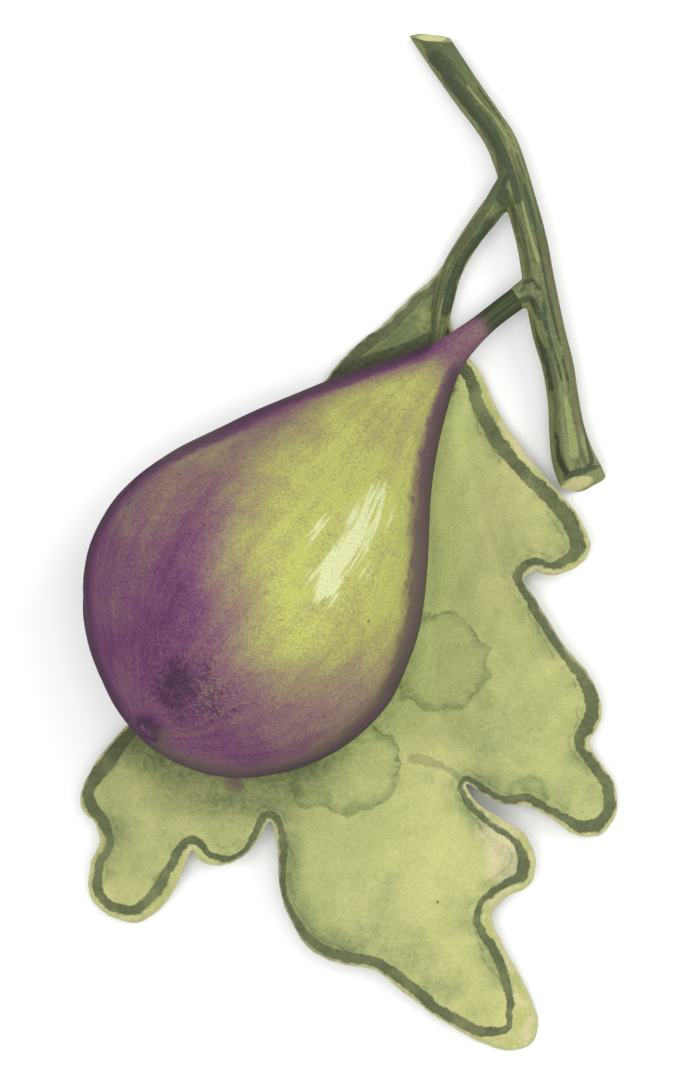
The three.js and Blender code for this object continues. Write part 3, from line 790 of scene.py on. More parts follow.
def bladeHeight(xy):  # height of the blade's lower face above the table
    height = np.zeros(len(xy))
    total = np.zeros(len(xy))
    closest = np.full(len(xy), 1e9)
    for line, lobe in zip(mainVeins, leafShape["lobes"]):
        nearest, away = nearestOn(line, xy)
        along = nearest / (len(line) - 1)
        weight = 1 / (away**3 + 1)
        arch = leafShape["baseHeight"] * (1 - along) ** 2 + lobe["arch"] * np.sin(math.pi * along**1.5)
        height += weight * (arch + lobe["lift"] * along**3)
        total += weight
        closest = np.minimum(closest, away)
    pillow = leafShape["pillow"] * (1 - np.exp(-((closest / leafShape["pillowReach"]) ** 2)))
    return looseness(xy) * (height / total + pillow)


def outlineParts(xy):  # the outline's edges against a few thousand points at a time
    ends = np.roll(leafOutline, -1, axis=0)
    for first in range(0, len(xy), 2000):
        yield slice(first, first + 2000), xy[first:first + 2000, None, :], leafOutline[None], ends[None]


def edgeDistance(xy):  # distance to the margin, and which of its rows is nearest
    away = np.zeros(len(xy))
    nearest = np.zeros(len(xy), int)
    for part, p, a, b in outlineParts(xy):
        run = b - a
        t = np.clip(((p - a) * run).sum(2) / (run * run).sum(2), 0, 1)
        gap = np.linalg.norm(p - a - t[..., None] * run, axis=2)
        away[part] = gap.min(1)
        nearest[part] = gap.argmin(1)
    return away, nearest


def insideLeaf(xy):
    inside = np.zeros(len(xy), bool)
    for part, p, a, b in outlineParts(xy):
        crosses = (a[..., 1] > p[..., 1]) != (b[..., 1] > p[..., 1])
        slope = (b[..., 0] - a[..., 0]) / np.where(b[..., 1] == a[..., 1], 1e-9, b[..., 1] - a[..., 1])
        left = p[..., 0] < slope * (p[..., 1] - a[..., 1]) + a[..., 0]
        inside[part] = (crosses & left).sum(1) % 2 == 1
    return inside


sideVeinSet = dict(starts=(0.2, 0.32, 0.44, 0.56, 0.68, 0.79, 0.88), stagger=0.03, angle=48, curl=-1.1,
                   step=0.5, longest=17.0, clear=1.1, apart=1.8, fewest=7)


def growVein(main, others, start, hand):  # ends short of the margin or of another main vein
    v = sideVeinSet
    i = int((start + v["stagger"] * hand) * (len(main) - 1))
    ahead = main[i + 1] - main[i - 1]
    angle = math.atan2(ahead[1], ahead[0]) + hand * math.radians(v["angle"])
    line = [main[i]]
    while len(line) * v["step"] < v["longest"]:
        angle += hand * math.radians(v["curl"]) * v["step"]
        p = line[-1] + v["step"] * np.array([math.cos(angle), math.sin(angle)])
        here = p[None]
        crowd = min(nearestOn(other[::4], here)[1][0] for other in others)
        if not insideLeaf(here)[0] or edgeDistance(here)[0][0] < v["clear"] or crowd < v["apart"]:
            break
        line.append(p)
    return np.array(line)


def growSideVeins():  # to both sides of each main vein
    lines = []
    for i, main in enumerate(mainVeins):
        others = mainVeins[:i] + mainVeins[i + 1:]
        for start in sideVeinSet["starts"]:
            lines += [growVein(main, others, start, hand) for hand in (-1, 1)]
    return [line for line in lines if len(line) >= sideVeinSet["fewest"]]


leafPaint = dict(
    light=paint(207, 208, 138), mid=paint(191, 196, 126), mottle=paint(166, 175, 114),
    dark=paint(95, 113, 76), band=paint(92, 99, 72), wash=paint(132, 142, 96), cream=paint(226, 217, 172),
    under=paint(176, 186, 136), vein=paint(196, 200, 140), speck=paint(92, 98, 70), hem=paint(66, 74, 54),
    fringe=paint(190, 195, 120), lit=paint(228, 240, 152), juice=paint(128, 84, 118),
    grain=(0.5, 0.51, 0.45, 1.0),
    # wash marks that dried with a darker rim: place, radius, strength
    stains=[((23.4, -12.2), 7.0, 0.75), ((11.5, -27.0), 6.4, 0.85), ((5.4, -29.4), 3.0, 0.85),
            ((36.0, -31.5), 3.0, 0.6)],
    # broad darker washes, some of them painted shade beside and under the fruit: place, reach along x and
    # y, strength
    washesAndShade=[((16, 34), (8, 6), 1.6), ((22.5, 40), (3.5, 4.5), 1.35), ((-23.6, -32), (4.5, 7.5), 0.5),
            ((13.2, -47.6), (8, 6), 0.3), ((14.5, -50.5), (7.5, 4), 0.46), ((-22.5, -36), (4, 4.5), 0.72),
            ((45, -31.5), (3, 3.5), 0.45), ((18, -54), (6, 3.5), 0.6), ((28.5, -61.5), (3.5, 3), 0.38),
            ((33.5, 7.5), (5, 9), 0.22), ((-13, -35.5), (4, 3), 0.35), ((41.9, -30.8), (4.5, 3), 0.35),
            ((23, -53.5), (5, 4), 0.18), ((10, -52), (6, 3), 0.72), ((22.5, -57.5), (5, 2.5), 0.6),
            ((30, -22.5), (6.5, 6.5), 0.42), ((18, -20), (5, 5), 0.25), ((-7, -31.5), (10, 3.6), 0.95),
            ((-19, -41), (5, 5), 0.3), ((2.3, -40), (1.6, 6), 0.6), ((4.6, -49), (2.2, 3.6), 0.55),
            ((30.5, -28.6), (5, 2.2), 0.4)],
    pales=[((30, -35.2), (2, 2.2), 0.9), ((32.2, -38.6), (2.6, 2.8), 1.0), ((32.6, -41.4), (3, 1.8), 1.0),
           ((36.5, -61), (2, 4), 0.35), ((40.5, 0.3), (3.5, 1.1), 0.9), ((31.6, -34), (4, 1.2), 1.0)],
    juiceSpots=[((-5.3, -29.3), (1.6, 1.2), 1.0)],
    crease=[(27.0, -29.0), (24.6, -27.2), (22.4, -26.2), (19.7, -25.6)],
)


def leafMaterial():
    c = leafPaint
    k = PaintKit("leafBlade", 0.65, 0.12)
    place = k.place()
    cloud = k.noise(place, 75, 5, 0.6)
    blotch = k.noise(place, 230, 4, 0.62)
    fray = k.noise(place, 640, 3, 0.6)
    grain = k.noise(place, 1700, 2, 0.6)
    speck = k.noise(place, 4200, 2, 0.7)
    ragged = k.add(k.sway(blotch, 0.4), k.sway(fray, 0.22))
    k.colour = k.mix(k.range(cloud, 0.4, 0.66), c["light"], c["mid"])
    k.coat(k.range(blotch, 0.5, 0.75, 0.0, 0.45), c["mottle"])
    # painted light on the blade beside the fruit's right side
    k.coat(k.attribute("lift"), c["lit"])
    # cream places, broad dark washes and painted shade on the blade beside and under the fruit
    cream = k.add(k.attribute("cream"), k.times(ragged, 0.35))
    k.coat(k.range(cream, 0.2, 0.75, 0.0, 0.9), c["cream"])
    wash = k.add(k.attribute("wash"), k.sway(cloud, 0.13, 0.3))
    wash = k.times(wash, k.range(fray, 0.25, 0.7, 0.65, 1.05))
    wash = k.math("MULTIPLY", wash, k.range(grain, 0.25, 0.75, 0.7, 1.2), clamp=True)
    k.coat(k.times(wash, 0.9), c["dark"])
    # dried wash marks, darker towards their ragged rim
    mark = k.add(k.attribute("stain"), k.times(ragged, 1.9))
    ring = k.times(k.range(mark, -1.9, -0.2), k.range(mark, 0.1, -0.06))
    ring = k.times(ring, k.range(cloud, 0.36, 0.62, 0.14, 0.5))
    tide = k.range(k.math("ABSOLUTE", k.add(mark, 0.12)), 0.4, 0.08)
    tide = k.times(tide, k.range(fray, 0.36, 0.6, 0.1, 0.75))
    body = k.times(k.range(mark, 0.08, -0.1, 0.0, 0.1), k.range(grain, 0.3, 0.7, 0.5, 1.5))
    stain = k.math("ADD", k.math("MAXIMUM", ring, tide), body, clamp=True)
    k.coat(k.times(stain, k.attribute("stainStrength")), c["dark"])
    # veins a little paler than the blade
    veinNear = k.add(k.attribute("veinNear"), k.sway(grain, 0.1, 0.2))
    k.coat(k.range(veinNear, 0.32, 0.08, 0.0, 0.1), c["vein"])
    # soft dark wash inside the margin, then the dark margin line
    inset = k.add(k.attribute("edgeIn"), k.times(ragged, 0.4), k.sway(grain, 0.1, 0.2))
    inner = k.times(k.range(inset, 4.6, 1.0), k.range(cloud, 0.42, 0.64))
    k.coat(k.times(inner, k.range(fray, 0.3, 0.7, 0.5, 0.9)), c["wash"])
    inside = k.minus(inset, k.attribute("lineWidth"))
    line = k.times(k.range(inset, -0.06, 0.12), k.range(inside, 0.12, -0.1))
    # the crease from the sinus, and a painted shadow line along the fruit's edge in the strip by the left
    # shoulder
    crease = k.range(k.add(k.attribute("crease"), ragged), 0.75, 0.45)
    line = k.math("MAXIMUM", line, k.times(crease, k.attribute("creaseAndShadowTone")))
    k.coat(k.times(line, k.range(blotch, 0.3, 0.6, 0.72, 0.97)), c["band"])
    # painted deep shade in the strip beside the fruit, darker hems of the line and a fine dried line inside
    # it
    deep = k.add(k.attribute("deep"), k.times(ragged, 0.4))
    k.coat(k.range(deep, 0.25, 0.6, 0.0, 0.8), c["hem"])
    hem = k.math("MINIMUM", k.math("ABSOLUTE", inset), k.math("ABSOLUTE", inside))
    hem = k.times(k.range(hem, 0.2, 0.05), k.range(cloud, 0.44, 0.58))
    k.coat(k.times(hem, k.range(fray, 0.4, 0.6, 0.1, 0.7)), c["hem"])
    dried = k.math("ABSOLUTE", k.minus(inside, k.range(blotch, 0.3, 0.7, 0.0, 1.4)))
    dried = k.times(k.range(dried, 0.24, 0.06), k.range(cloud, 0.45, 0.58, 0.0, 0.4))
    k.coat(k.times(dried, k.range(grain, 0.3, 0.6, 0.4, 1.0)), c["hem"])
    # juice marks, then the pale fringe outside the line and the edge itself
    juice = k.add(k.attribute("juice"), k.times(ragged, 0.5))
    k.coat(k.range(juice, 0.4, 0.6, 0.0, 0.45), c["juice"])
    fringe = k.mix(k.range(blotch, 0.42, 0.62), c["fringe"], c["cream"])
    k.coat(k.range(inset, -0.05, -0.4, 0.0, 0.75), fringe)
    edge = k.add(k.attribute("edge"), k.times(ragged, 0.5))
    k.coat(k.range(edge, 0.4, 0.1, 0.0, 0.5), c["cream"])
    # a few dark specks, the paler lower face with its veins, the grain of the blade
    k.coat(k.times(k.specks(place, 170.0, 0.05, 0.025, 0.84), 0.8), c["speck"])
    under = k.attribute("under")
    k.coat(k.times(under, 0.75), c["under"])
    k.coat(k.times(under, k.range(veinNear, 0.4, 0.1, 0.0, 0.7)), c["vein"])
    k.coat(k.range(grain, 0.3, 0.8, 0.0, 0.16), c["mottle"])
    k.coat(k.range(speck, 0.36, 0.75, 0.0, 0.42), c["grain"], "MULTIPLY")
    k.wire("Base Color", k.colour)
    net = k.cells(place, 900.0, feature="DISTANCE_TO_EDGE").outputs["Distance"]
    k.bump(k.add(k.range(net, 0.0, 0.12), k.times(grain, 0.6)), 0.15, 0.1)
    return k.material


def signedArea(xy, f):
    (ax, ay), (bx, by), (cx, cy) = xy[f[0]], xy[f[1]], xy[f[2]]
    return (bx - ax) * (cy - ay) - (cx - ax) * (by - ay)


def leafGrid():  # outline and an even field of points inside it, in triangles that face up
    step = leafShape["gridStep"]
    low, high = leafOutline.min(0), leafOutline.max(0)
    field = []
    for row, y in enumerate(np.arange(low[1], high[1], step * math.sqrt(3) / 2)):
        field += [(x + (step / 2 if row % 2 else 0), y) for x in np.arange(low[0], high[0], step)]
    field = np.array(field)
    field = field[insideLeaf(field)]
    field = field[edgeDistance(field)[0] > leafShape["gridClear"]]
    points = [Vector(p) for p in np.vstack([leafOutline, field])]
    verts, _, faces, *_ = delaunay_2d_cdt(points, [], [list(range(len(leafOutline)))], 1, 1e-6)
    xy = np.array([tuple(v) for v in verts])
    faces = [tuple(f) for f in faces]
    return xy, [f if signedArea(xy, f) > 0 else f[::-1] for f in faces]


def nearestStain(xy):  # distance past the rim of the nearest wash mark, and its strength
    stain = np.full(len(xy), 9.0)
    strength = np.zeros(len(xy))
    for place, radius, tone in leafPaint["stains"]:
        past = np.hypot(*(xy - place).T) - radius
        strength = np.where(past < stain, tone, strength)
        stain = np.minimum(stain, past)
    return stain, strength


def leafLayers(xy, edge, nearest, mainAway, sideAway):  # what the blade's paint reads at each point
    c = leafPaint
    x, y = xy.T
    stain, stainStrength = nearestStain(xy)
    lineGap, lineWidth = leafRows[nearest, 3:].T
    byFig = nearestOn(figOutline, xy)[1]
    strip = smoothStep(22, 28, y) * smoothStep(27, 24, x)  # deep shade between left shoulder and fruit
    # painted shade on the blade near the fruit, strongest below it and in the strip by the left shoulder
    below = smoothStep(-8, -24, y) * (1 - 0.5 * smoothStep(5, 13, x))
    figShade = (0.2 + 0.75 * below + 1.4 * strip) * np.exp(-((byFig / (1.6 + 3.6 * below)) ** 2))
    crease = nearestOn(curveThrough(c["crease"], 0.2), xy)[1]
    return dict(
        edge=edge, edgeIn=edge - lineGap, lineWidth=lineWidth, stain=stain, stainStrength=stainStrength,
        wash=np.maximum(strongestSpot(x, y, c["washesAndShade"]), figShade), cream=strongestSpot(x, y, c["pales"]),
        # painted light near the fruit's right side
        lift=0.95 * smoothStep(5, 14, x) * np.exp(-((byFig / 5.0) ** 2)) * (1 - strip),
        juice=strongestSpot(x, y, c["juiceSpots"]), veinNear=np.minimum(mainAway * 0.6, sideAway),
        # crease holds the sinus crease and a painted shadow line along the fruit by the left shoulder
        crease=np.minimum(crease, np.where(strip > 0.4, byFig * 0.55, 9)),
        creaseAndShadowTone=np.where(strip > 0.4, 0.85, 0.42), deep=strip * smoothStep(2.1, 0.9, byFig))


def makeLeaf():
    shape = leafShape
    xy, up = leafGrid()
    count = len(xy)
    flat = np.column_stack([xy, np.zeros(count)])
    edge, nearest = edgeDistance(xy)
    height = bladeHeight(xy)
    mainAway = np.min([nearestOn(line, xy)[1] for line in mainVeins], axis=0)
    sideAway = np.min([nearestOn(line, xy)[1] for line in sideVeins], axis=0)
    inward = smoothStep(0, shape["thinZone"], edge)
    thick = shape["edgeThickness"] + (shape["thickness"] - shape["edgeThickness"]) * inward
    sink = np.exp(-((mainAway / shape["mainSinkHalf"]) ** 2))
    sink += shape["sideSink"] * np.exp(-((sideAway / shape["sideSinkHalf"]) ** 2))
    quilt = 1 - np.exp(-((np.minimum(sideAway, mainAway) / shape["quiltReach"]) ** 2))
    bumpHeight, *bumpKind = shape["bumps"]
    relief = shape["quilt"] * quilt - shape["sink"] * sink + bumpHeight * noiseAt(flat, *bumpKind)
    rippleHeight, *rippleKind = shape["ripple"]
    ripple = rippleHeight * looseness(xy) * smoothStep(shape["rippleZone"], 0, edge)
    ripple = ripple * noiseAt(flat, *rippleKind)
    lower = height + np.maximum(ripple, -0.6 * height)  # never below the table
    upper = lower + thick + relief * inward
    verts = np.vstack([np.column_stack([xy, upper]), np.column_stack([xy, lower])])
    down = [tuple(i + count for i in f[::-1]) for f in up]
    sides = dict.fromkeys((a, b) for f in up for a, b in zip(f, f[1:] + f[:1]))
    rim = [(b, a, a + count, b + count) for a, b in sides if (b, a) not in sides]
    blade = meshObject("leafBlade", verts, up + down + rim, leafMaterial())
    layers = leafLayers(xy, edge, nearest, mainAway, sideAway)
    storeValues(blade.data, **{name: np.r_[values, values] for name, values in layers.items()})
    storeValues(blade.data, under=np.r_[np.zeros(count), np.ones(count)])
    finishPiece(blade, "leaf_blade", "leaf")


sideVeins = growSideVeins()
print(len(sideVeins), "side veins")
makeLeaf()


# stems: one node tree sweeps a ridged section along every path

stemPaint = dict(base=paint(108, 117, 80), older=paint(134, 142, 98), dark=paint(72, 82, 60),
                 pale=paint(166, 173, 110), edge=paint(152, 156, 98), brown=paint(104, 100, 72),
                 cut=paint(218, 216, 148), cutRim=paint(146, 155, 102), pith=paint(222, 216, 172),
                 grain=(0.5, 0.52, 0.46, 1.0), stripeRadius=2.2,
                 strokes=dict(brown=0.6, dark=0.9, pale=0.75))  # painted lines and how strongly they cover


def stemTree():
    k, given = newTree("stemSweep", {"Int": ("Sides",), "Float": ("Ridges", "Ridge Height", "Groove")})
    girth = k.get("GeometryNodeInputNamedAttribute", {"Name": "girth"})
    path = k.get("GeometryNodeMeshToCurve", {0: given["Geometry"]})
    path = k.get("GeometryNodeSetCurveNormal", {0: path}, mode="Z_UP")
    ring = k.get("GeometryNodeCurvePrimitiveCircle", {"Resolution": given["Sides"], "Radius": 1.0})
    turn = k.times(k.node("GeometryNodeSplineParameter").outputs["Factor"], 2 * math.pi)
    rise = k.times(k.math("COSINE", k.times(turn, given["Ridges"])), given["Ridge Height"])
    top = k.math("POWER", k.math("MAXIMUM", k.math("SINE", turn), 0.0), 6.0)
    rise = k.minus(rise, k.times(top, given["Groove"]))
    push = k.scaled(k.get("GeometryNodeInputPosition"), rise)
    ring = k.get("GeometryNodeSetPosition", {"Geometry": ring, "Offset": push})
    inputs = {"Curve": path, "Profile Curve": ring, "Scale": girth, "Fill Caps": True}
    return endTree(k, k.get("GeometryNodeCurveToMesh", inputs), given["Material"])


stemSweep = stemTree()


def sweepPaths(name, paths, material, sides, ridges=0.0, ridgeHeight=0.0, groove=0.0):
    verts, edges, girth = [], [], []
    for path in paths:  # rows of x, y, z, radius
        first = len(verts)
        verts += [tuple(p) for p in path[:, :3] * mm]
        edges += [(i, i + 1) for i in range(first, len(verts) - 1)]
        girth += list(path[:, 3] * mm)
    mesh = bpy.data.meshes.new(name)
    mesh.from_pydata(verts, edges, [])
    storeValues(mesh, girth=girth)
    values = {"Sides": sides, "Ridges": ridges, "Ridge Height": ridgeHeight, "Groove": groove}
    return applyTree(linked(name, mesh), stemSweep, {**values, "Material": material})


def stemMaterial(name):  # green bark with painted lines, among them a painted highlight, a painted rim light on both sides, and fine stripes along the stem
    c = stemPaint
    k = PaintKit(name, 0.65, 0.12)
    place = k.place()
    blotch = k.noise(place, 420, 4, 0.6)
    speck = k.noise(place, 4200, 2, 0.7)
    grit = k.noise(place, 1500, 3, 0.65)
    stripes = k.noise(k.drawnOut(k.attribute("grain", "Vector"), (1.1, 1.1, 0.08)), 1.0, 4, 0.62)
    k.colour = k.mix(k.attribute("age"), c["base"], c["older"])
    k.coat(k.range(stripes, 0.42, 0.64, 0.0, 0.62), c["dark"])
    k.coat(k.range(stripes, 0.46, 0.32, 0.0, 0.5), c["pale"])
    fray = k.sway(blotch, 0.25)
    soft = k.add(k.times(fray, 0.6), k.sway(stripes, 0.16, 0.3), k.sway(grit, 0.08))
    for tone, strength in c["strokes"].items():
        amount = k.range(k.add(k.attribute(tone), soft), 0.22, 0.66, 0.0, strength)
        k.coat(amount, c[tone])
    # painted rim light: a pale line along both sides of the stem
    turn = k.add(k.math("ABSOLUTE", k.attribute("turn")), fray)
    rim = k.math("ABSOLUTE", k.minus(turn, 1.32))
    k.coat(k.range(rim, 0.32, 0.12, 0.0, 0.6), c["edge"])
    k.coat(k.range(grit, 0.42, 0.72, 0.0, 0.2), c["dark"])
    k.coat(k.range(grit, 0.46, 0.28, 0.0, 0.12), c["pale"])
    k.coat(k.range(speck, 0.38, 0.75, 0.0, 0.6), c["grain"], "MULTIPLY")
    k.wire("Base Color", k.colour)
    k.bump(k.add(stripes, k.times(speck, 0.25)), 0.35, 0.12)
    return k.material


def paintStem(piece, path, shape):  # what the bark reads: turn from the top, place along, painted lines
    mesh = piece.data
    co = readValues(mesh, "position") / mm
    spine = path[:, :3]
    nearest, away = nearestOn(spine, co)
    facing = np.gradient(spine, axis=0)[nearest]
    side = np.cross(facing / np.linalg.norm(facing, axis=1, keepdims=True), (0, 0, 1.0))
    side /= np.linalg.norm(side, axis=1, keepdims=True)
    side *= np.where(side[:, :1] < 0, -1, 1)  # always towards the right
    off = co - spine[nearest]
    turn = np.arctan2((off * side).sum(1), off[:, 2])
    run = runAlong(spine)[nearest]
    around = stemPaint["stripeRadius"] * np.column_stack([np.cos(turn), np.sin(turn)])
    storeValues(mesh, grain=np.column_stack([around, run]), age=smoothStep(30, 48, run))
    storeValues(mesh, turn=np.where(away < path[nearest, 3] * 1.12, turn, 0.0))  # not on the raised nodes
    for tone in stemPaint["strokes"]:
        storeValues(mesh, **{tone: strokeShade(co[:, :2], shape[tone + "Lines"])})


# leaf stalk and the ribs on the blade's lower face

leafStalkSet = dict(
    # x, y, z, radius from the twig into the blade
    stations=[(31.22, 51.9, 4.79, 1.62), (30.82, 51.36, 4.81, 1.6), (30.28, 50.64, 4.83, 1.6),
              (27.8, 47.3, 4.2, 1.45), (25.3, 43.0, 3.3, 1.45), (24.0, 38.5, 2.5, 1.45),
              (23.3, 34.5, 2.1, 1.15), (22.5, 30.5, 1.75, 0.55)],
    step=0.3, sides=40, ridges=9.0, ridgeHeight=0.035, groove=0.12,
    # painted lines: points, half width at both ends, strength
    darkLines=[([(31.3, 51.0), (28.6, 46.6), (26.2, 43.0), (24.9, 39.5), (24.4, 35.5)], (0.7, 0.9), 0.9)],
    paleLines=[([(29.2, 46.4), (27.6, 44.4), (26.8, 42.6)], (0.2, 0.3), 0.7)],
    brownLines=[([(30.0, 51.4), (26.6, 47.0), (24.4, 44.2)], (0.4, 0.4), 0.7)],
)


def makeLeafStalk():
    shape = leafStalkSet
    path = curveThrough(shape["stations"], shape["step"])
    stalk = sweepPaths("leafStalk", [path], stemMaterial("leafStalkBark"), shape["sides"], shape["ridges"],
                       shape["ridgeHeight"], shape["groove"])
    paintStem(stalk, path, shape)
    finishPiece(stalk, "leaf_blade")


ribSet = dict(
    main=dict(drop=1.0, tip=0.1, most=0.7, into=0.3), side=dict(drop=0.32, tip=0.25, most=0.5, into=0.2),
    reach=0.93, sides=12, tones=(paint(196, 200, 148), paint(168, 176, 120)), mottle=500,
)


def ribPath(line, drop, tip, most, into):  # below the blade with its top inside it, thinner to the tip
    height = bladeHeight(line)
    left = 1 - np.linspace(0, 1, len(line))
    radius = (np.minimum(drop * (tip + (1 - tip) * left), most * height) + into) / 2
    return np.column_stack([line, height + into - radius, radius])


def makeRibs():
    mains = [line[:int(len(line) * ribSet["reach"]):2] for line in mainVeins]
    paths = [ribPath(line, **ribSet["main"]) for line in mains]
    paths += [ribPath(line, **ribSet["side"]) for line in sideVeins]
    material = mottledMaterial("leafRibs", ribSet["tones"], ribSet["mottle"], 0.6, 0.25)
    finishPiece(sweepPaths("leafRibs", paths, material, ribSet["sides"]), "leaf_blade")


makeLeafStalk()
makeRibs()


# twig: ridged stem with two raised nodes, cut at both ends

twigShape = dict(
    # x, y, z, radius from the top cut to the heel
    stations=[(20.4, 78.6, 2.5, 2.3), (22.4, 75.5, 2.6, 2.3), (27.5, 67.9, 3.5, 2.2),
              (30.3, 64.0, 3.9, 2.1), (32.4, 60.6, 4.3, 2.15), (35.2, 51.9, 4.8, 2.15),
              (36.6, 46.6, 5.0, 2.15), (37.4, 42.0, 5.0, 2.2), (38.9, 34.3, 4.8, 2.3),
              (40.2, 29.5, 4.4, 2.2), (41.0, 24.5, 4.0, 2.2), (41.5, 20.5, 3.7, 2.5),
              (42.4, 16.6, 3.5, 3.0), (43.8, 13.4, 3.5, 3.2), (45.5, 10.0, 3.5, 3.0)],
    # painted lines of the young bark: points, half width at both ends, strength
    darkLines=[([(21.5, 74.7), (23.9, 71.4), (27.0, 67.0), (30.4, 63.0), (32.4, 59.0), (33.9, 55.0),
                 (34.6, 50.0)], (1.1, 0.45), 0.9),
               ([(28.0, 69.6), (31.6, 64.8), (34.0, 60.0), (35.6, 55.0)], (0.2, 0.25), 0.6),
               ([(34.7, 57.0), (36.6, 50.0), (38.4, 41.0), (40.2, 33.0), (42.3, 24.0)], (0.15, 0.3), 0.65),
               ([(35.3, 37.4), (36.7, 33.8), (38.1, 30.9), (39.3, 25.0)], (0.8, 0.35), 0.8),
               ([(38.0, 39.5), (38.2, 36.0), (39.8, 30.2), (41.0, 26.2)], (0.4, 0.25), 0.55),
               ([(34.9, 40.9), (36.6, 41.4), (37.6, 39.8)], (0.3, 0.3), 0.6),
               ([(39.7, 21.0), (40.3, 16.4), (42.1, 14.2), (44.6, 15.5), (44.3, 18.6), (43.2, 24.0)],
                (0.5, 0.25), 0.75),
               ([(33.2, 56.6), (32.4, 54.0), (33.1, 52.6)], (0.4, 0.3), 0.7),
               ([(34.2, 38.2), (36.1, 38.9), (37.2, 37.0), (37.6, 35.4)], (0.6, 0.4), 0.7),
               ([(34.0, 39.7), (35.8, 40.6)], (0.4, 0.3), 0.6),
               ([(31.4, 52.2), (33.0, 54.6)], (0.9, 0.8), 0.6)],
    # the pale lines down the middle of the stem are a painted highlight
    paleLines=[([(26.9, 69.4), (29.0, 66.7), (31.2, 64.2), (32.7, 61.6), (33.6, 59.0)], (0.14, 0.1), 0.9),
               ([(34.9, 53.0), (35.7, 49.7), (36.9, 45.4), (37.6, 43.4)], (0.14, 0.3), 0.85),
               ([(41.0, 25.6), (41.7, 21.6), (42.2, 18.2), (42.3, 16.0)], (0.2, 0.75), 1.0),
               ([(45.3, 13.4), (46.2, 13.9)], (0.7, 0.5), 0.9)],
    brownLines=[([(36.9, 50.0), (38.2, 46.0), (39.4, 38.6), (41.4, 30.9), (43.0, 21.6), (44.0, 17.5)],
                 (0.8, 0.7), 0.8)],
    # the raised nodes that carry the leaf's stalk and the fruit's
    nodes=dict(leafNode=[(33.9, 55.5, 4.7, 2.1), (32.4, 53.5, 4.75, 1.9), (31.0, 51.6, 4.8, 1.62)],
               figNode=[(37.4, 40.7, 5.0, 2.3), (35.9, 39.85, 5.1, 2.0), (34.2, 38.9, 5.2, 1.66)]),
    # both cuts: a place on the cut, the way it faces, the heart of the wood
    cuts=[((22.3, 75.6, 2.6), (0.08, 1.0, 0.25), (22.3, 75.6, 2.6)),
          ((43.7, 13.7, 3.5), (0.3, -0.85, 0.45), (42.8, 13.0, 2.7))],
    bruise=(4.5, 5.0),  # height above the table where a cut turns dark
    ridges=5.0, ridgeHeight=0.07, sides=60, nodeSides=32, step=0.25, voxel=0.16, smooth=12,
)


def cutMaterial():  # pale wood with a soft pith, a green rim and a dark bruise along the upper edge
    c = stemPaint
    k = PaintKit("twigCut", 0.75, 0.2)
    place = k.place()
    hearts = [k.vector("DISTANCE", place, tuple(v * mm for v in heart), "Value")
              for _, _, heart in twigShape["cuts"]]
    fray = k.sway(k.noise(place, 900, 4, 0.7), 0.5)
    near = k.add(k.times(k.math("MINIMUM", *hearts), 1 / mm), fray)
    k.colour = k.mix(k.range(near, 0.4, 0.9), c["pith"], c["cut"])
    k.coat(k.range(near, 1.7, 2.4), c["cutRim"])
    height = k.node("ShaderNodeSeparateXYZ", {0: place}).outputs["Z"]
    height = k.add(k.times(height, 1 / mm), fray)
    k.coat(k.range(height, *twigShape["bruise"], 0.0, 0.85), c["dark"])
    k.wire("Base Color", k.colour)
    k.bump(k.noise(place, 1600, 3), 0.4, 0.15)
    return k.material


def capEnd(work, edges):  # closes a cut with rings that shrink to its middle
    ring = [edges[0].verts[0]]
    nextVert = edges[0].verts[1]
    while nextVert != ring[0]:
        ring.append(nextVert)
        nextVert = next(e.other_vert(nextVert) for e in nextVert.link_edges
                        if e in edges and e.other_vert(nextVert) != ring[-2])
    for e in edges:
        e.smooth = False
    middle = sum((v.co for v in ring), Vector()) / len(ring)
    outer = ring
    for share in (0.9, 0.7, 0.5, 0.3, 0.12):
        inner = [work.verts.new(middle + (v.co - middle) * share) for v in ring]
        for i, v in enumerate(outer):
            j = (i + 1) % len(outer)
            work.faces.new((v, outer[j], inner[j], inner[i])).material_index = 1
        outer = inner
    work.faces.new(outer).material_index = 1


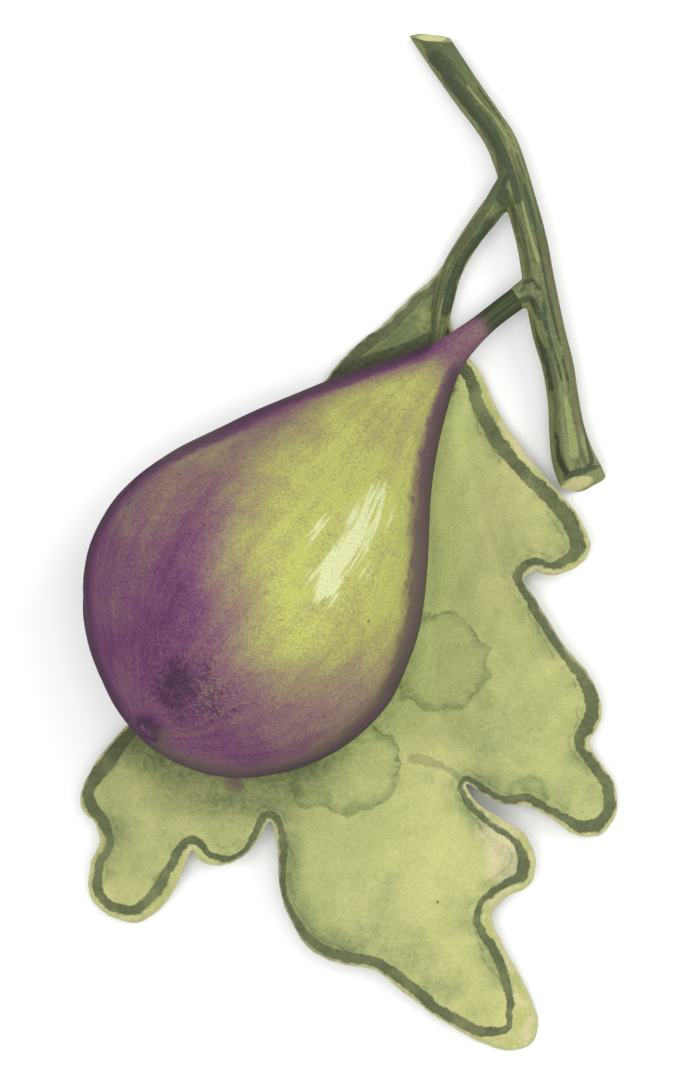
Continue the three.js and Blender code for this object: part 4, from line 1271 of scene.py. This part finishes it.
def fusedTwig(parts):  # stem and nodes as one soft skin
    joined = bmesh.new()
    for part in parts:
        joined.from_mesh(part.data)
        bpy.data.objects.remove(part)
    mesh = bpy.data.meshes.new("twigStem")
    joined.to_mesh(mesh)
    joined.free()
    twig = linked("twigStem", mesh)
    remesh = twig.modifiers.new("skin", "REMESH")
    remesh.mode = "VOXEL"
    remesh.voxel_size = twigShape["voxel"] * mm
    soften = twig.modifiers.new("soften", "SMOOTH")
    soften.factor = 0.5
    soften.iterations = twigShape["smooth"]
    graph = bpy.context.evaluated_depsgraph_get()
    skin = bpy.data.meshes.new_from_object(twig.evaluated_get(graph), depsgraph=graph)
    twig.modifiers.clear()
    twig.data = skin
    skin.name = "twigStem"
    return twig


def cutTwig(skin, materials):  # bark in the first slot, the cut ends in the second
    work = bmesh.new()
    work.from_mesh(skin)
    for at, outward, _ in twigShape["cuts"]:
        everything = list(work.verts) + list(work.edges) + list(work.faces)
        cut = bmesh.ops.bisect_plane(work, geom=everything, plane_co=Vector(at) * mm,
                                     plane_no=Vector(outward).normalized(), clear_outer=True)
        capEnd(work, [e for e in cut["geom_cut"] if isinstance(e, bmesh.types.BMEdge)])
    bmesh.ops.remove_doubles(work, verts=list(work.verts), dist=5e-7)
    for f in work.faces:
        f.smooth = f.material_index == 0
    bmesh.ops.recalc_face_normals(work, faces=list(work.faces))
    skin.materials.clear()  # before the faces come back, because it resets their slots
    for material in materials:
        skin.materials.append(material)
    work.to_mesh(skin)
    work.free()


def makeTwig():
    shape = twigShape
    bark = stemMaterial("twigBark")
    path = curveThrough(shape["stations"], shape["step"])
    parts = [sweepPaths("twigStem", [path], bark, shape["sides"], shape["ridges"], shape["ridgeHeight"])]
    for name, stations in shape["nodes"].items():
        parts.append(sweepPaths(name, [curveThrough(stations, shape["step"])], bark, shape["nodeSides"]))
    twig = fusedTwig(parts)
    cutTwig(twig.data, [bark, cutMaterial()])
    paintStem(twig, path, shape)
    finishPiece(twig, "twig_bark", "twig")


makeTwig()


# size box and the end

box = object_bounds()
sizes = dict(cad=[[float(v) for v in corner] for corner in cadBox],
             visual=[[float(v) for v in corner] for corner in box])
print("visual box", sizes["visual"])
